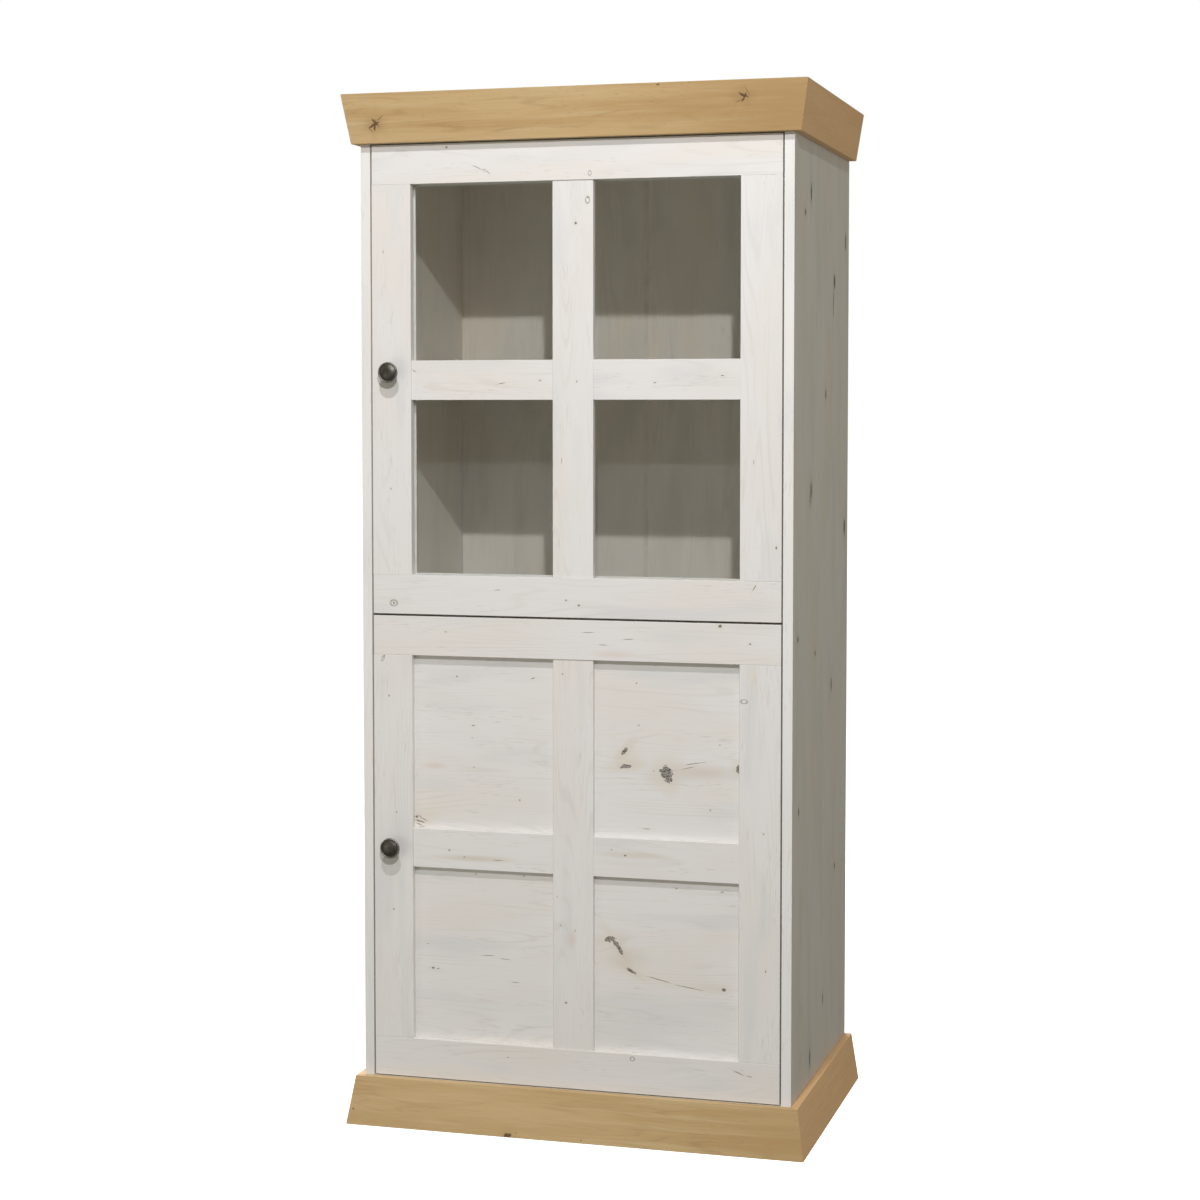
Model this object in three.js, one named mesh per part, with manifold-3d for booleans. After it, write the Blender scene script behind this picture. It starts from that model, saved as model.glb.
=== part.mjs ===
// Pantry cabinet: a tall free-standing cupboard with two inset doors, one glazed and one panelled.
// Millimetres, +Z up, front towards -Y. The origin is on the floor, under the middle of the outline.
import * as THREE from 'three';
import Module from 'manifold-3d';
import { mergeVertices } from 'three/addons/utils/BufferGeometryUtils.js';

const wasm = await Module();
wasm.setup();

// Overall outline
const BODY_WIDTH = 850;
const BODY_DEPTH = 570;
const HEIGHT = 2000;
const BOARD = 19;
const OVERHANG = 30;
const TIGHT_OVERHANG = 14.5;
const SLANT_BOARD = 14.5;
const MITRE_GAP = 0.2;
const BATTEN = 16;
const RAIL_CLEARANCE = 4;

// Levels
const PLINTH_HEIGHT = 94;
const CARCASS_TOP = 1906;
const BATTEN_TOP = 1980;

// Doors
const DOOR_HEIGHT = 902;
const DOOR_BOTTOM = 96;
const DOOR_GAP = 4;
const SIDE_GAP = 3;
const DOOR_THICKNESS = 22;
const FRAME_BAR = 76;
const STILE = 79;
const MULLION = 80;
const CROSS_SETBACK = 2;
const GLASS_SETBACK = 17;
const GLASS_THICKNESS = 4;
const PANEL_SETBACK = 13;
const PANEL_THICKNESS = 5;
const INFILL_LAP = 9;
const BEAD_OUTREACH = 5;
const BEAD_INREACH = 3;
const BEAD_THICKNESS = 1.6;
const SLIDE_FIT = 0.3;
const REST_FIT = 0.2;

// Fittings
const KNOB_RISE = 15;
const KNOB_REACH = 27;
const KNOB_RADIUS = 20;
const SCREW_RADIUS = 1.9;
const SCREW_HOLE = 2.3;
const CUP_RADIUS = 17.3;
const CUP_DEPTH = 11.5;
const CUP_WALL = 1.3;
const CUP_FLANGE_RADIUS = 20;
const CUP_INSET = 21.5;
const HINGE_INSET = 110;
const ARM_WIDTH = 16;
const KNOB_BORE = 14;
const KNOB_DOME_BASE = 22.6;
const KNOB_RIM_WIDTH = 3.6;
const PIN_RADIUS = 2.5;
const PIN_REACH = 8;
const PIN_HOLE_FIT = 0.15;
const PIN_PITCH = 64;
const PIN_ROW_INSET = 60;

// Inner boards
const INNER_SETBACK = 24;
const BACK_SETBACK = 20;
const BACK_THICKNESS = 4;
const BACK_CLEARANCE = 1.5;
const GROOVE_DEPTH = 6;
const STRIP_HALF = 5;
const STRIP_WEB = 0.7;
const STRIP_WALL = 1;
const SHELF_BOARD = 18;
const SHELF_SETBACK = 34;
const SHELF_REAR_GAP = 2;
const SHELF_END_GAP = 1;
const UPPER_SHELF_RISE = 442;
const LOWER_SHELF_RISE = 441;

// Worked out from the dimensions above
const FRONT = -(BODY_DEPTH + OVERHANG) / 2;
const FACE = FRONT + OVERHANG;
const REAR = FACE + BODY_DEPTH;
const SIDE = BODY_WIDTH / 2;
const INSIDE = SIDE - BOARD;
const DOOR_SIDE = INSIDE - SIDE_GAP;
const OPENING_SIDE = DOOR_SIDE - STILE;
const DOOR_BACK = FACE + DOOR_THICKNESS;
const INNER_FRONT = FACE + INNER_SETBACK;
const BACK_FACE = REAR - BACK_SETBACK - BACK_THICKNESS;
const INNER_REAR = BACK_FACE - BACK_CLEARANCE;
const MIDDLE = DOOR_BOTTOM + DOOR_HEIGHT + DOOR_GAP / 2;
const UPPER_DOOR_BOTTOM = MIDDLE + DOOR_GAP / 2;
const UPPER_SHELF = UPPER_DOOR_BOTTOM + UPPER_SHELF_RISE;
const LOWER_SHELF = DOOR_BOTTOM + LOWER_SHELF_RISE;
const KNOB_X = -(DOOR_SIDE - STILE / 2);
const CUP_X = DOOR_SIDE - CUP_INSET;
const PIN_ROWS = [FACE + PIN_ROW_INSET, REAR - PIN_ROW_INSET];
const BATTEN_BASE = CARCASS_TOP + BOARD;
const SLOT_FRONT = BACK_FACE - REST_FIT;
const SLOT_REAR = BACK_FACE + BACK_THICKNESS + REST_FIT;

// How far a cutting tool stands out of the board it cuts, and the sides that round parts are drawn with
const OVERSHOOT = 1;
const KNOB_SIDES = 48;
const CUP_SIDES = 32;
const SCREW_SIDES = 16;
const PIN_SIDES = 12;

// Finishes
const finish = (color, roughness, metalness = 0) =>
  new THREE.MeshStandardMaterial({ color, roughness, metalness });
const pineFoil = finish(0xdedad4, 0.5);
const oakFoil = finish(0xb99a68, 0.55);
const backBoard = finish(0xd8d4cc, 0.6);
const clearGlass = finish(0xc9d2cf, 0.05);
const pewter = finish(0x3a3733, 0.35, 0.9);
const steel = finish(0xa9abad, 0.3, 1);
const plastic = finish(0xe6e6e2, 0.45);

function toSolid(geometry) {
  const bare = geometry.clone();
  bare.deleteAttribute('normal');
  bare.deleteAttribute('uv');
  const merged = mergeVertices(bare);
  const vertProperties = Float32Array.from(merged.attributes.position.array);
  const triVerts = Uint32Array.from(merged.index.array);
  return new wasm.Manifold(new wasm.Mesh({ numProp: 3, vertProperties, triVerts }));
}

function toGeometry(solid) {
  const mesh = solid.getMesh();
  const geometry = new THREE.BufferGeometry();
  geometry.setAttribute('position', new THREE.BufferAttribute(Float32Array.from(mesh.vertProperties), 3));
  geometry.setIndex(new THREE.BufferAttribute(Uint32Array.from(mesh.triVerts), 1));
  geometry.computeVertexNormals();
  return geometry;
}

// A box between two corners given as ranges along x, y and z.
function block(x, y, z) {
  const geometry = new THREE.BoxGeometry(x[1] - x[0], y[1] - y[0], z[1] - z[0]);
  geometry.translate((x[0] + x[1]) / 2, (y[0] + y[1]) / 2, (z[0] + z[1]) / 2);
  return geometry;
}

// A drilled hole or a pin: a cylinder along x or y, between two places on that axis.
function rod(axis, radius, from, to, across, height, sides) {
  const geometry = new THREE.CylinderGeometry(radius, radius, to - from, sides);
  if (axis === 'x') {
    geometry.rotateZ(Math.PI / 2);
    geometry.translate((from + to) / 2, across, height);
  } else {
    geometry.translate(across, (from + to) / 2, height);
  }
  return geometry;
}

function cut(geometry, tools) {
  let solid = toSolid(geometry);
  for (const tool of tools) {
    solid = solid.subtract(toSolid(tool));
  }
  return toGeometry(solid);
}

function piece(group, name, geometry, material) {
  const mesh = new THREE.Mesh(geometry, material);
  mesh.name = name;
  group.add(mesh);
}

// An outline of [a, b] points, pushed out straight along the third axis.
function extruded(points, length) {
  const shape = new THREE.Shape(points.map(([a, b]) => new THREE.Vector2(a, b)));
  return new THREE.ExtrudeGeometry(shape, { depth: length, bevelEnabled: false });
}

// A turned piece: radius and height pairs about a line that points out of the door, towards -Y.
function turned(profile, x, z, sides) {
  const points = profile.map(([radius, height]) => new THREE.Vector2(radius, height));
  const geometry = new THREE.LatheGeometry(points, sides);
  geometry.rotateX(Math.PI);
  geometry.translate(x, FACE, z);
  return geometry;
}

// A slanting board of the cornice or the plinth, cut level at top and bottom. Each end of the box is
// moved out by the overhang at its own height, so that the front corners are mitred.
function slantedBoard(side, bottom, top, bottomOut, topOut) {
  const geometry = new THREE.BoxGeometry(2, 2, 2);
  const position = geometry.attributes.position;
  for (let i = 0; i < position.count; i += 1) {
    const outer = position.getY(i) < 0;
    const high = position.getZ(i) > 0;
    const end = Math.sign(position.getX(i));
    const out = (high ? topOut : bottomOut) - (outer ? 0 : SLANT_BOARD);
    const level = high ? top : bottom;
    if (side === 0) {
      position.setXYZ(i, end * (SIDE + out - MITRE_GAP), FACE - out, level);
    } else {
      position.setXYZ(i, side * (SIDE + out), end * side < 0 ? FACE - out : REAR, level);
    }
  }
  return geometry;
}

const cabinet = new THREE.Group();
const carcass = new THREE.Group();
cabinet.add(carcass);

// Side panels stand on the floor. Each has a groove for the back and holes for the shelf pins.
for (const side of [-1, 1]) {
  const name = side < 0 ? 'left' : 'right';
  const span = (near, far) => [Math.min(side * near, side * far), Math.max(side * near, side * far)];
  const groove = block(
    span(INSIDE - OVERSHOOT, INSIDE + GROOVE_DEPTH),
    [SLOT_FRONT, SLOT_REAR],
    [PLINTH_HEIGHT - BOARD - OVERSHOOT, CARCASS_TOP + OVERSHOOT],
  );
  const drilled = [];
  for (const shelf of [LOWER_SHELF, UPPER_SHELF]) {
    for (const step of [-1, 0, 1]) {
      const height = shelf - PIN_RADIUS - REST_FIT + step * PIN_PITCH;
      for (const row of PIN_ROWS) {
        const [from, to] = span(INSIDE - OVERSHOOT, INSIDE + PIN_REACH + SLIDE_FIT);
        drilled.push(rod('x', PIN_RADIUS + PIN_HOLE_FIT, from, to, row, height, PIN_SIDES));
      }
    }
  }
  const panel = cut(block(span(INSIDE, SIDE), [FACE, REAR], [0, CARCASS_TOP]), [groove, ...drilled]);
  piece(carcass, `${name}_side_panel`, panel, pineFoil);
}

// Bottom, middle and top boards. The middle one is set back, behind the gap between the doors.
piece(
  carcass,
  'bottom_panel',
  block([-INSIDE, INSIDE], [FACE, INNER_REAR], [PLINTH_HEIGHT - BOARD, PLINTH_HEIGHT]),
  pineFoil,
);
piece(
  carcass,
  'middle_panel',
  block([-INSIDE, INSIDE], [INNER_FRONT, INNER_REAR], [MIDDLE - BOARD / 2, MIDDLE + BOARD / 2]),
  pineFoil,
);
piece(
  carcass,
  'top_panel',
  block([-SIDE, SIDE], [FACE, REAR], [CARCASS_TOP, CARCASS_TOP + BOARD]),
  pineFoil,
);

// The back is two thin sheets in the grooves, joined down the middle by a plastic strip of H section.
const backRange = [BACK_FACE, BACK_FACE + BACK_THICKNESS];
const backHeight = [PLINTH_HEIGHT - BOARD, CARCASS_TOP - SLIDE_FIT];
const backEdge = INSIDE + GROOVE_DEPTH - REST_FIT;
const backMiddle = STRIP_WEB + SLIDE_FIT;
piece(carcass, 'back_sheet_left', block([-backEdge, -backMiddle], backRange, backHeight), backBoard);
piece(carcass, 'back_sheet_right', block([backMiddle, backEdge], backRange, backHeight), backBoard);
const strip = extruded(
  [
    [-STRIP_HALF, SLOT_FRONT - STRIP_WALL],
    [STRIP_HALF, SLOT_FRONT - STRIP_WALL],
    [STRIP_HALF, SLOT_FRONT],
    [STRIP_WEB, SLOT_FRONT],
    [STRIP_WEB, SLOT_REAR],
    [STRIP_HALF, SLOT_REAR],
    [STRIP_HALF, SLOT_REAR + STRIP_WALL],
    [-STRIP_HALF, SLOT_REAR + STRIP_WALL],
    [-STRIP_HALF, SLOT_REAR],
    [-STRIP_WEB, SLOT_REAR],
    [-STRIP_WEB, SLOT_FRONT],
    [-STRIP_HALF, SLOT_FRONT],
  ],
  backHeight[1] - backHeight[0],
);
strip.translate(0, 0, backHeight[0]);
piece(carcass, 'back_joint_strip', strip, plastic);

// Loose shelves, each on four steel pins.
for (const [name, shelf] of [['lower', LOWER_SHELF], ['upper', UPPER_SHELF]]) {
  const shelfSide = INSIDE - SHELF_END_GAP;
  const shelfDepth = [FACE + SHELF_SETBACK, INNER_REAR - SHELF_REAR_GAP];
  const board = block([-shelfSide, shelfSide], shelfDepth, [shelf, shelf + SHELF_BOARD]);
  piece(carcass, `${name}_shelf`, board, pineFoil);
  for (const side of [-1, 1]) {
    const end = side < 0 ? 'left' : 'right';
    PIN_ROWS.forEach((row, index) => {
      const from = Math.min(side * (INSIDE - PIN_REACH), side * (INSIDE + PIN_REACH));
      const height = shelf - PIN_RADIUS - REST_FIT;
      const pin = rod('x', PIN_RADIUS, from, from + 2 * PIN_REACH, row, height, PIN_SIDES);
      piece(carcass, `${name}_shelf_pin_${end}_${index === 0 ? 'front' : 'rear'}`, pin, steel);
    });
  }
}

// Cornice: three oak boards that lean outwards as they rise, fixed to bevelled battens on the top.
const crown = new THREE.Group();
cabinet.add(crown);
const slantAt = (level) => ((OVERHANG - TIGHT_OVERHANG) * (level - CARCASS_TOP)) / (HEIGHT - CARCASS_TOP);
for (const [name, side] of [['front', 0], ['left', -1], ['right', 1]]) {
  const slanted = slantedBoard(side, CARCASS_TOP, HEIGHT, TIGHT_OVERHANG, OVERHANG);
  piece(crown, `cornice_${name}`, slanted, oakFoil);
}
const battenLow = slantAt(BATTEN_BASE) - SLIDE_FIT;
const battenHigh = slantAt(BATTEN_TOP) - SLIDE_FIT;
for (const side of [-1, 1]) {
  const outline = [
    [side * (SIDE - BATTEN), BATTEN_BASE],
    [side * (SIDE + battenLow), BATTEN_BASE],
    [side * (SIDE + battenHigh), BATTEN_TOP],
    [side * (SIDE - BATTEN), BATTEN_TOP],
  ];
  const batten = extruded(outline, BODY_DEPTH);
  batten.rotateX(Math.PI / 2);
  batten.translate(0, REAR, 0);
  piece(crown, `cornice_batten_${side < 0 ? 'left' : 'right'}`, batten, pineFoil);
}
const frontBatten = extruded(
  [
    [FACE + BATTEN, BATTEN_BASE],
    [FACE - battenLow, BATTEN_BASE],
    [FACE - battenHigh, BATTEN_TOP],
    [FACE + BATTEN, BATTEN_TOP],
  ],
  2 * (SIDE - BATTEN),
);
frontBatten.rotateX(Math.PI / 2);
frontBatten.rotateZ(Math.PI / 2);
frontBatten.translate(-(SIDE - BATTEN), 0, 0);
piece(crown, 'cornice_batten_front', frontBatten, pineFoil);
piece(
  crown,
  'cornice_batten_rear',
  block([BATTEN - SIDE, SIDE - BATTEN], [REAR - BATTEN, REAR], [BATTEN_BASE, BATTEN_TOP]),
  pineFoil,
);

// Plinth: three oak boards that lean outwards as they drop to the floor, and two cross rails behind.
const base = new THREE.Group();
cabinet.add(base);
for (const [name, side] of [['front', 0], ['left', -1], ['right', 1]]) {
  const slanted = slantedBoard(side, 0, PLINTH_HEIGHT, OVERHANG, TIGHT_OVERHANG);
  piece(base, `plinth_${name}`, slanted, oakFoil);
}
const railHeight = [RAIL_CLEARANCE, PLINTH_HEIGHT - BOARD];
const frontRail = block([-INSIDE, INSIDE], [FACE, FACE + BATTEN], railHeight);
const rearRail = block([-INSIDE, INSIDE], [INNER_REAR - BATTEN, INNER_REAR], railHeight);
piece(base, 'plinth_rail_front', frontRail, pineFoil);
piece(base, 'plinth_rail_rear', rearRail, pineFoil);

// One door: rails across the full width, stiles and a mullion between them, and two cross bars.
// The infill is one sheet let into the frame, behind the mullion and the bars.
function buildDoor(name, bottom, knobRise, infill) {
  const door = new THREE.Group();
  cabinet.add(door);
  const top = bottom + DOOR_HEIGHT;
  const low = bottom + FRAME_BAR;
  const high = top - FRAME_BAR;
  const centre = (low + high) / 2;
  const depth = [FACE, DOOR_BACK];
  const crossDepth = [FACE + CROSS_SETBACK, FACE + infill.setback - SLIDE_FIT];
  const infillDepth = [FACE + infill.setback, FACE + infill.setback + infill.thickness];
  const overOpening = (reach, range) =>
    block([-OPENING_SIDE - reach, OPENING_SIDE + reach], range, [low - reach, high + reach]);
  const pocketBack = infill.beaded ? DOOR_BACK + OVERSHOOT : infillDepth[1] + SLIDE_FIT;
  const pocket = overOpening(INFILL_LAP, [infillDepth[0] - SLIDE_FIT, pocketBack]);
  const knobHeight = centre + knobRise;
  const through = [FACE - OVERSHOOT, DOOR_BACK + OVERSHOOT];
  const knobHole = rod('y', SCREW_HOLE, through[0], through[1], KNOB_X, knobHeight, SCREW_SIDES);
  const cupHeights = [bottom + HINGE_INSET, top - HINGE_INSET];
  const cupFloor = DOOR_BACK - CUP_DEPTH - SLIDE_FIT;
  const cupHoles = cupHeights.map((height) =>
    rod('y', CUP_RADIUS + SLIDE_FIT, cupFloor, through[1], CUP_X, height, CUP_SIDES),
  );
  const wide = [-DOOR_SIDE, DOOR_SIDE];
  piece(door, `${name}_top_rail`, cut(block(wide, depth, [high, top]), [pocket]), pineFoil);
  piece(door, `${name}_bottom_rail`, cut(block(wide, depth, [bottom, low]), [pocket]), pineFoil);
  const leftStile = cut(block([-DOOR_SIDE, -OPENING_SIDE], depth, [low, high]), [pocket, knobHole]);
  const rightStile = cut(block([OPENING_SIDE, DOOR_SIDE], depth, [low, high]), [pocket, ...cupHoles]);
  piece(door, `${name}_left_stile`, leftStile, pineFoil);
  piece(door, `${name}_right_stile`, rightStile, pineFoil);
  const middle = MULLION / 2;
  piece(door, `${name}_mullion`, block([-middle, middle], crossDepth, [low, high]), pineFoil);
  const barHeight = [centre - FRAME_BAR / 2, centre + FRAME_BAR / 2];
  piece(door, `${name}_left_bar`, block([-OPENING_SIDE, -middle], crossDepth, barHeight), pineFoil);
  piece(door, `${name}_right_bar`, block([middle, OPENING_SIDE], crossDepth, barHeight), pineFoil);
  piece(door, `${name}_${infill.name}`, overOpening(INFILL_LAP - SLIDE_FIT, infillDepth), infill.material);
  if (infill.beaded) {
    const beadFace = DOOR_BACK + REST_FIT;
    const beadBack = beadFace + BEAD_THICKNESS;
    const ring = overOpening(INFILL_LAP + BEAD_OUTREACH, [beadFace, beadBack]);
    const hole = overOpening(-BEAD_INREACH, [beadFace - OVERSHOOT, beadBack + OVERSHOOT]);
    piece(door, `${name}_glazing_bead`, cut(ring, [hole]), plastic);
  }
  piece(door, `${name}_knob`, turned(knobProfile(), KNOB_X, knobHeight, KNOB_SIDES), pewter);
  piece(door, `${name}_knob_screw`, turned(screwProfile(), KNOB_X, knobHeight, SCREW_SIDES), steel);
  cupHeights.forEach((height, index) => {
    const place = index === 0 ? 'lower' : 'upper';
    piece(door, `${name}_hinge_cup_${place}`, turned(cupProfile(), CUP_X, height, CUP_SIDES), steel);
    piece(carcass, `${name}_hinge_arm_${place}`, hingeArm(height), steel);
  });
}

// Knob: a foot, a waisted neck, and a shallow dome inside a raised rim, bored from behind.
function knobProfile() {
  const rim = KNOB_RADIUS;
  const domeRadius = rim - KNOB_RIM_WIDTH;
  const profile = [
    [0, KNOB_BORE],
    [SCREW_RADIUS + REST_FIT, KNOB_BORE],
    [SCREW_RADIUS + REST_FIT, 0],
    [8.5, 0],
    [8.5, 1.6],
    [6, 4],
    [5.6, 9],
    [7.5, 14],
    [13, 17.5],
    [rim - 0.6, 20],
    [rim, 21.5],
    [rim - 0.5, 23.2],
    [rim - 1.6, 23.8],
    [rim - 2.8, 23.2],
    [domeRadius, KNOB_DOME_BASE],
  ];
  const rings = 5;
  for (let i = 1; i <= rings; i += 1) {
    const turn = (Math.PI / 2) * (i / rings);
    const radius = i === rings ? 0 : domeRadius * Math.cos(turn);
    profile.push([radius, KNOB_DOME_BASE + (KNOB_REACH - KNOB_DOME_BASE) * Math.sin(turn)]);
  }
  return profile;
}

// Knob screw: a pan head on the back of the stile and a shank into the knob.
function screwProfile() {
  const seat = -DOOR_THICKNESS - REST_FIT / 2;
  const tip = KNOB_BORE - 0.5;
  return [
    [0, seat - 2.3],
    [3.2, seat - 2.3],
    [4, seat - 1.3],
    [4, seat],
    [SCREW_RADIUS, seat],
    [SCREW_RADIUS, tip],
    [0, tip],
  ];
}

// Hinge cup: a pressed cup let into the back of the stile, with a flange that lies on the wood.
function cupProfile() {
  const back = -DOOR_THICKNESS;
  const seat = back - REST_FIT / 2;
  const floor = back + CUP_DEPTH;
  return [
    [0, floor - CUP_WALL],
    [CUP_RADIUS - CUP_WALL, floor - CUP_WALL],
    [CUP_RADIUS - CUP_WALL, back - CUP_WALL],
    [CUP_FLANGE_RADIUS, back - CUP_WALL],
    [CUP_FLANGE_RADIUS, seat],
    [CUP_RADIUS, seat],
    [CUP_RADIUS, floor],
    [0, floor],
  ];
}

// Hinge arm: screwed to the side panel and cranked to reach over the cup.
function hingeArm(height) {
  const wall = INSIDE - REST_FIT / 2;
  const outline = [
    [wall, FACE + 36],
    [wall, FACE + 90],
    [INSIDE - 10, FACE + 90],
    [INSIDE - 15, FACE + 84],
    [INSIDE - 15, FACE + 46],
    [INSIDE - 36, FACE + 35],
    [INSIDE - 36, FACE + 25.5],
    [INSIDE - 18, FACE + 25.5],
    [INSIDE - 10, FACE + 34],
  ];
  const arm = extruded(outline, ARM_WIDTH);
  arm.translate(0, 0, height - ARM_WIDTH / 2);
  return arm;
}

buildDoor('upper_door', UPPER_DOOR_BOTTOM, KNOB_RISE, {
  name: 'glass',
  setback: GLASS_SETBACK,
  thickness: GLASS_THICKNESS,
  material: clearGlass,
  beaded: true,
});
buildDoor('lower_door', DOOR_BOTTOM, 0, {
  name: 'panel',
  setback: PANEL_SETBACK,
  thickness: PANEL_THICKNESS,
  material: pineFoil,
  beaded: false,
});

export default cabinet;
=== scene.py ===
"""Pantry cabinet: a tall cupboard in whitewashed pine decor, with an oak decor cornice and plinth.

Metres, Z up, front towards -Y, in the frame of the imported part. Sizes of fittings are given in millimetres
and turned to metres by MM. Grain directions and the places of knots are millimetres in the same frame.
"""

import math

import bmesh
import bpy
from mathutils import Matrix, Vector


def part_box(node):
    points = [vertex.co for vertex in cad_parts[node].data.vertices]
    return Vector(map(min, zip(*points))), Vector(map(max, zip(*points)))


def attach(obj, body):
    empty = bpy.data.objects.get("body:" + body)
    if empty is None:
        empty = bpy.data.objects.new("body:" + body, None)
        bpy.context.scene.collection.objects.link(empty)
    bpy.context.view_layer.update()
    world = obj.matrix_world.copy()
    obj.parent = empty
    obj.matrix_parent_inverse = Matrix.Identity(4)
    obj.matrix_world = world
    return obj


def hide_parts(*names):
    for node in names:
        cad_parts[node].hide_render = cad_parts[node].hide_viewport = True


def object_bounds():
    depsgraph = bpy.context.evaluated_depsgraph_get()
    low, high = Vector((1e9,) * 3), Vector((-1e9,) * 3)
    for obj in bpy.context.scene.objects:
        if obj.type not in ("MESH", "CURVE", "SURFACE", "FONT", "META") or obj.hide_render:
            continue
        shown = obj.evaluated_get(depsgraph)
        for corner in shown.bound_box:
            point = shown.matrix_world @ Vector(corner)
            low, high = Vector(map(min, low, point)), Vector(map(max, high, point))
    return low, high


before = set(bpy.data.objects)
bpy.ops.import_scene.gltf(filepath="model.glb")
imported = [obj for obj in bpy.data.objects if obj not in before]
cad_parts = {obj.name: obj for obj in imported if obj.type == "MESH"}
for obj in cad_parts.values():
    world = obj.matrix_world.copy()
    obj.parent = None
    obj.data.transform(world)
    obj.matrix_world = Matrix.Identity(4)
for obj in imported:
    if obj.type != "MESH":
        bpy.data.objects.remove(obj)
cad_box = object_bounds()
MM = 0.001


# ---------------------------------------------------------------------------------------------------
# Side panels. Each is 19 mm particle board standing on the floor, wrapped in printed pine foil over its
# faces and edges, grooved near the rear edge for the back and drilled in rows for the shelf pins.

SIDE_ARRIS = 1.0
PIN_BORE = 2.65
PIN_PITCH = 64
PIN_HOLE_DEPTH = 8.5
GROOVE_DEPTH = 6
GROOVE_FIT = 0.2
FACE_FOIL = {
    "ground": "#E8E6E4",
    "warm": "#E7E3DD",
    "cool": "#DFDFDE",
    "ring": "#C8C1B6",
    "tick": "#A49C90",
    "halo": "#DAD0BC",
    "mark": "#6A6259",
}
# Painted shade: the outer faces of the side panels get a greyer copy of the foil.
SIDE_FOIL_PAINTED_SHADE = {
    "ground": "#CECBC5",
    "warm": "#CDC7BC",
    "cool": "#C5C4BF",
    "ring": "#A9A297",
    "tick": "#857D72",
    "halo": "#B1A795",
    "mark": "#4B453D",
}
# Painted shade: the inside faces get a darker and warmer copy of the foil.
INNER_FOIL_PAINTED_SHADE = {
    "ground": "#E0DBD3",
    "warm": "#DFD8CB",
    "cool": "#D6D2C9",
    "ring": "#C1B8A8",
    "tick": "#A3998A",
    "halo": "#CCC0A8",
    "mark": "#6A6259",
}
# Painted light: the edges of the side panels get a lighter copy of the foil.
EDGE_FOIL_PAINTED_LIGHT = {**FACE_FOIL, "ground": "#EDECEA", "warm": "#ECE9E3", "cool": "#E6E6E4"}
KNOT_GREY = "#9E9991"
CRACK_BLACK = "#3C3834"


def linear(code):
    """A colour written in sRGB hex, as the linear colour that a shader takes."""
    shares = [int(code[start : start + 2], 16) / 255 for start in (1, 3, 5)]
    return tuple(s / 12.92 if s <= 0.04045 else ((s + 0.055) / 1.055) ** 2.4 for s in shares) + (1.0,)


def add(tree, kind, sockets, give=0, **settings):
    """Adds a node with its settings, fills or links its sockets, and gives back one output."""
    node = tree.nodes.new(kind)
    for setting, value in settings.items():
        setattr(node, setting, value)
    for socket, value in sockets.items():
        if isinstance(value, bpy.types.NodeSocket):
            tree.links.new(value, node.inputs[socket])
        else:
            node.inputs[socket].default_value = value
    return node.outputs[give] if node.outputs else node


def new_finish(name):
    """A new material with its node tree and its surface shader."""
    material = bpy.data.materials.new(name)
    material.use_nodes = True
    return material, material.node_tree, material.node_tree.nodes["Principled BSDF"]


def on_board(tree, grain):
    """Millimetres on a board: x across the grain, y through the board and z along the grain."""
    across, along = grain
    through = "XYZ".replace(across, "").replace(along, "")
    place = add(tree, "ShaderNodeTexCoord", {}, give="Object")
    split = add(tree, "ShaderNodeSeparateXYZ", {"Vector": place}).node.outputs
    swung = {"X": split[across], "Y": split[through], "Z": split[along]}
    metres = add(tree, "ShaderNodeCombineXYZ", swung)
    return add(tree, "ShaderNodeVectorMath", {0: metres, 1: (1 / MM, 1 / MM, 1 / MM)}, operation="MULTIPLY")


def figure(tree, place, width, length, detail=2.0, shift=0.0):
    """Noise from 0 to 1 drawn out along the grain: each spot of it is width by length millimetres."""
    drawn = add(
        tree,
        "ShaderNodeMapping",
        {"Vector": place, "Location": (shift, shift, shift), "Scale": (1 / width, 1 / width, 1 / length)},
        vector_type="POINT",
    )
    return add(tree, "ShaderNodeTexNoise", {"Vector": drawn, "Scale": 1.0, "Detail": detail})


def patches(tree, place, width, length, low, high, detail=2.0, shift=0.0, most=1.0):
    """Soft patches of a figure: 0 where it is under low, the share most where it is over high."""
    noise = figure(tree, place, width, length, detail, shift)
    return add(
        tree,
        "ShaderNodeMapRange",
        {"Value": noise, "From Min": low, "From Max": high, "To Max": most},
        interpolation_type="SMOOTHSTEP",
    )


def stained(tree, under, upper, source, low, high, most=1.0):
    """Lays a colour over another where a source goes from low to high, by the share most at the end."""
    share = add(
        tree,
        "ShaderNodeMapRange",
        {"Value": source, "From Min": low, "From Max": high, "To Max": most},
        interpolation_type="SMOOTHSTEP",
    )
    return add(tree, "ShaderNodeMix", {0: share, 6: under, 7: upper}, give=2, data_type="RGBA")


def laid(tree, under, upper, share, most):
    """Lays a colour over another by a share from 0 to 1, thinned to most."""
    thinned = add(tree, "ShaderNodeMath", {0: share, 1: most}, operation="MULTIPLY")
    return add(tree, "ShaderNodeMix", {0: thinned, 6: under, 7: upper}, give=2, data_type="RGBA")


def year_rings(tree, place, width, length, turns):
    """Waves from -1 to 1 that follow the level lines of a long figure, as year rings do on a board."""
    growth = figure(tree, place, width, length, 1.0)
    many = add(tree, "ShaderNodeMath", {0: growth, 1: turns}, operation="MULTIPLY")
    return add(tree, "ShaderNodeMath", {0: many}, operation="SINE")


def sawn_from(tree, place, shift, width, length, sway):
    """Places in the log that a board is sawn from: straight, and swayed across the grain."""
    straight = add(tree, "ShaderNodeVectorMath", {0: place, 1: shift}, operation="ADD")
    drift = figure(tree, straight, width, length, 3.0).node.outputs["Color"]
    across = add(tree, "ShaderNodeVectorMath", {0: drift, 1: (sway, 0.0, 0.0)}, operation="MULTIPLY")
    return straight, add(tree, "ShaderNodeVectorMath", {0: straight, 1: across}, operation="ADD")


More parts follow.
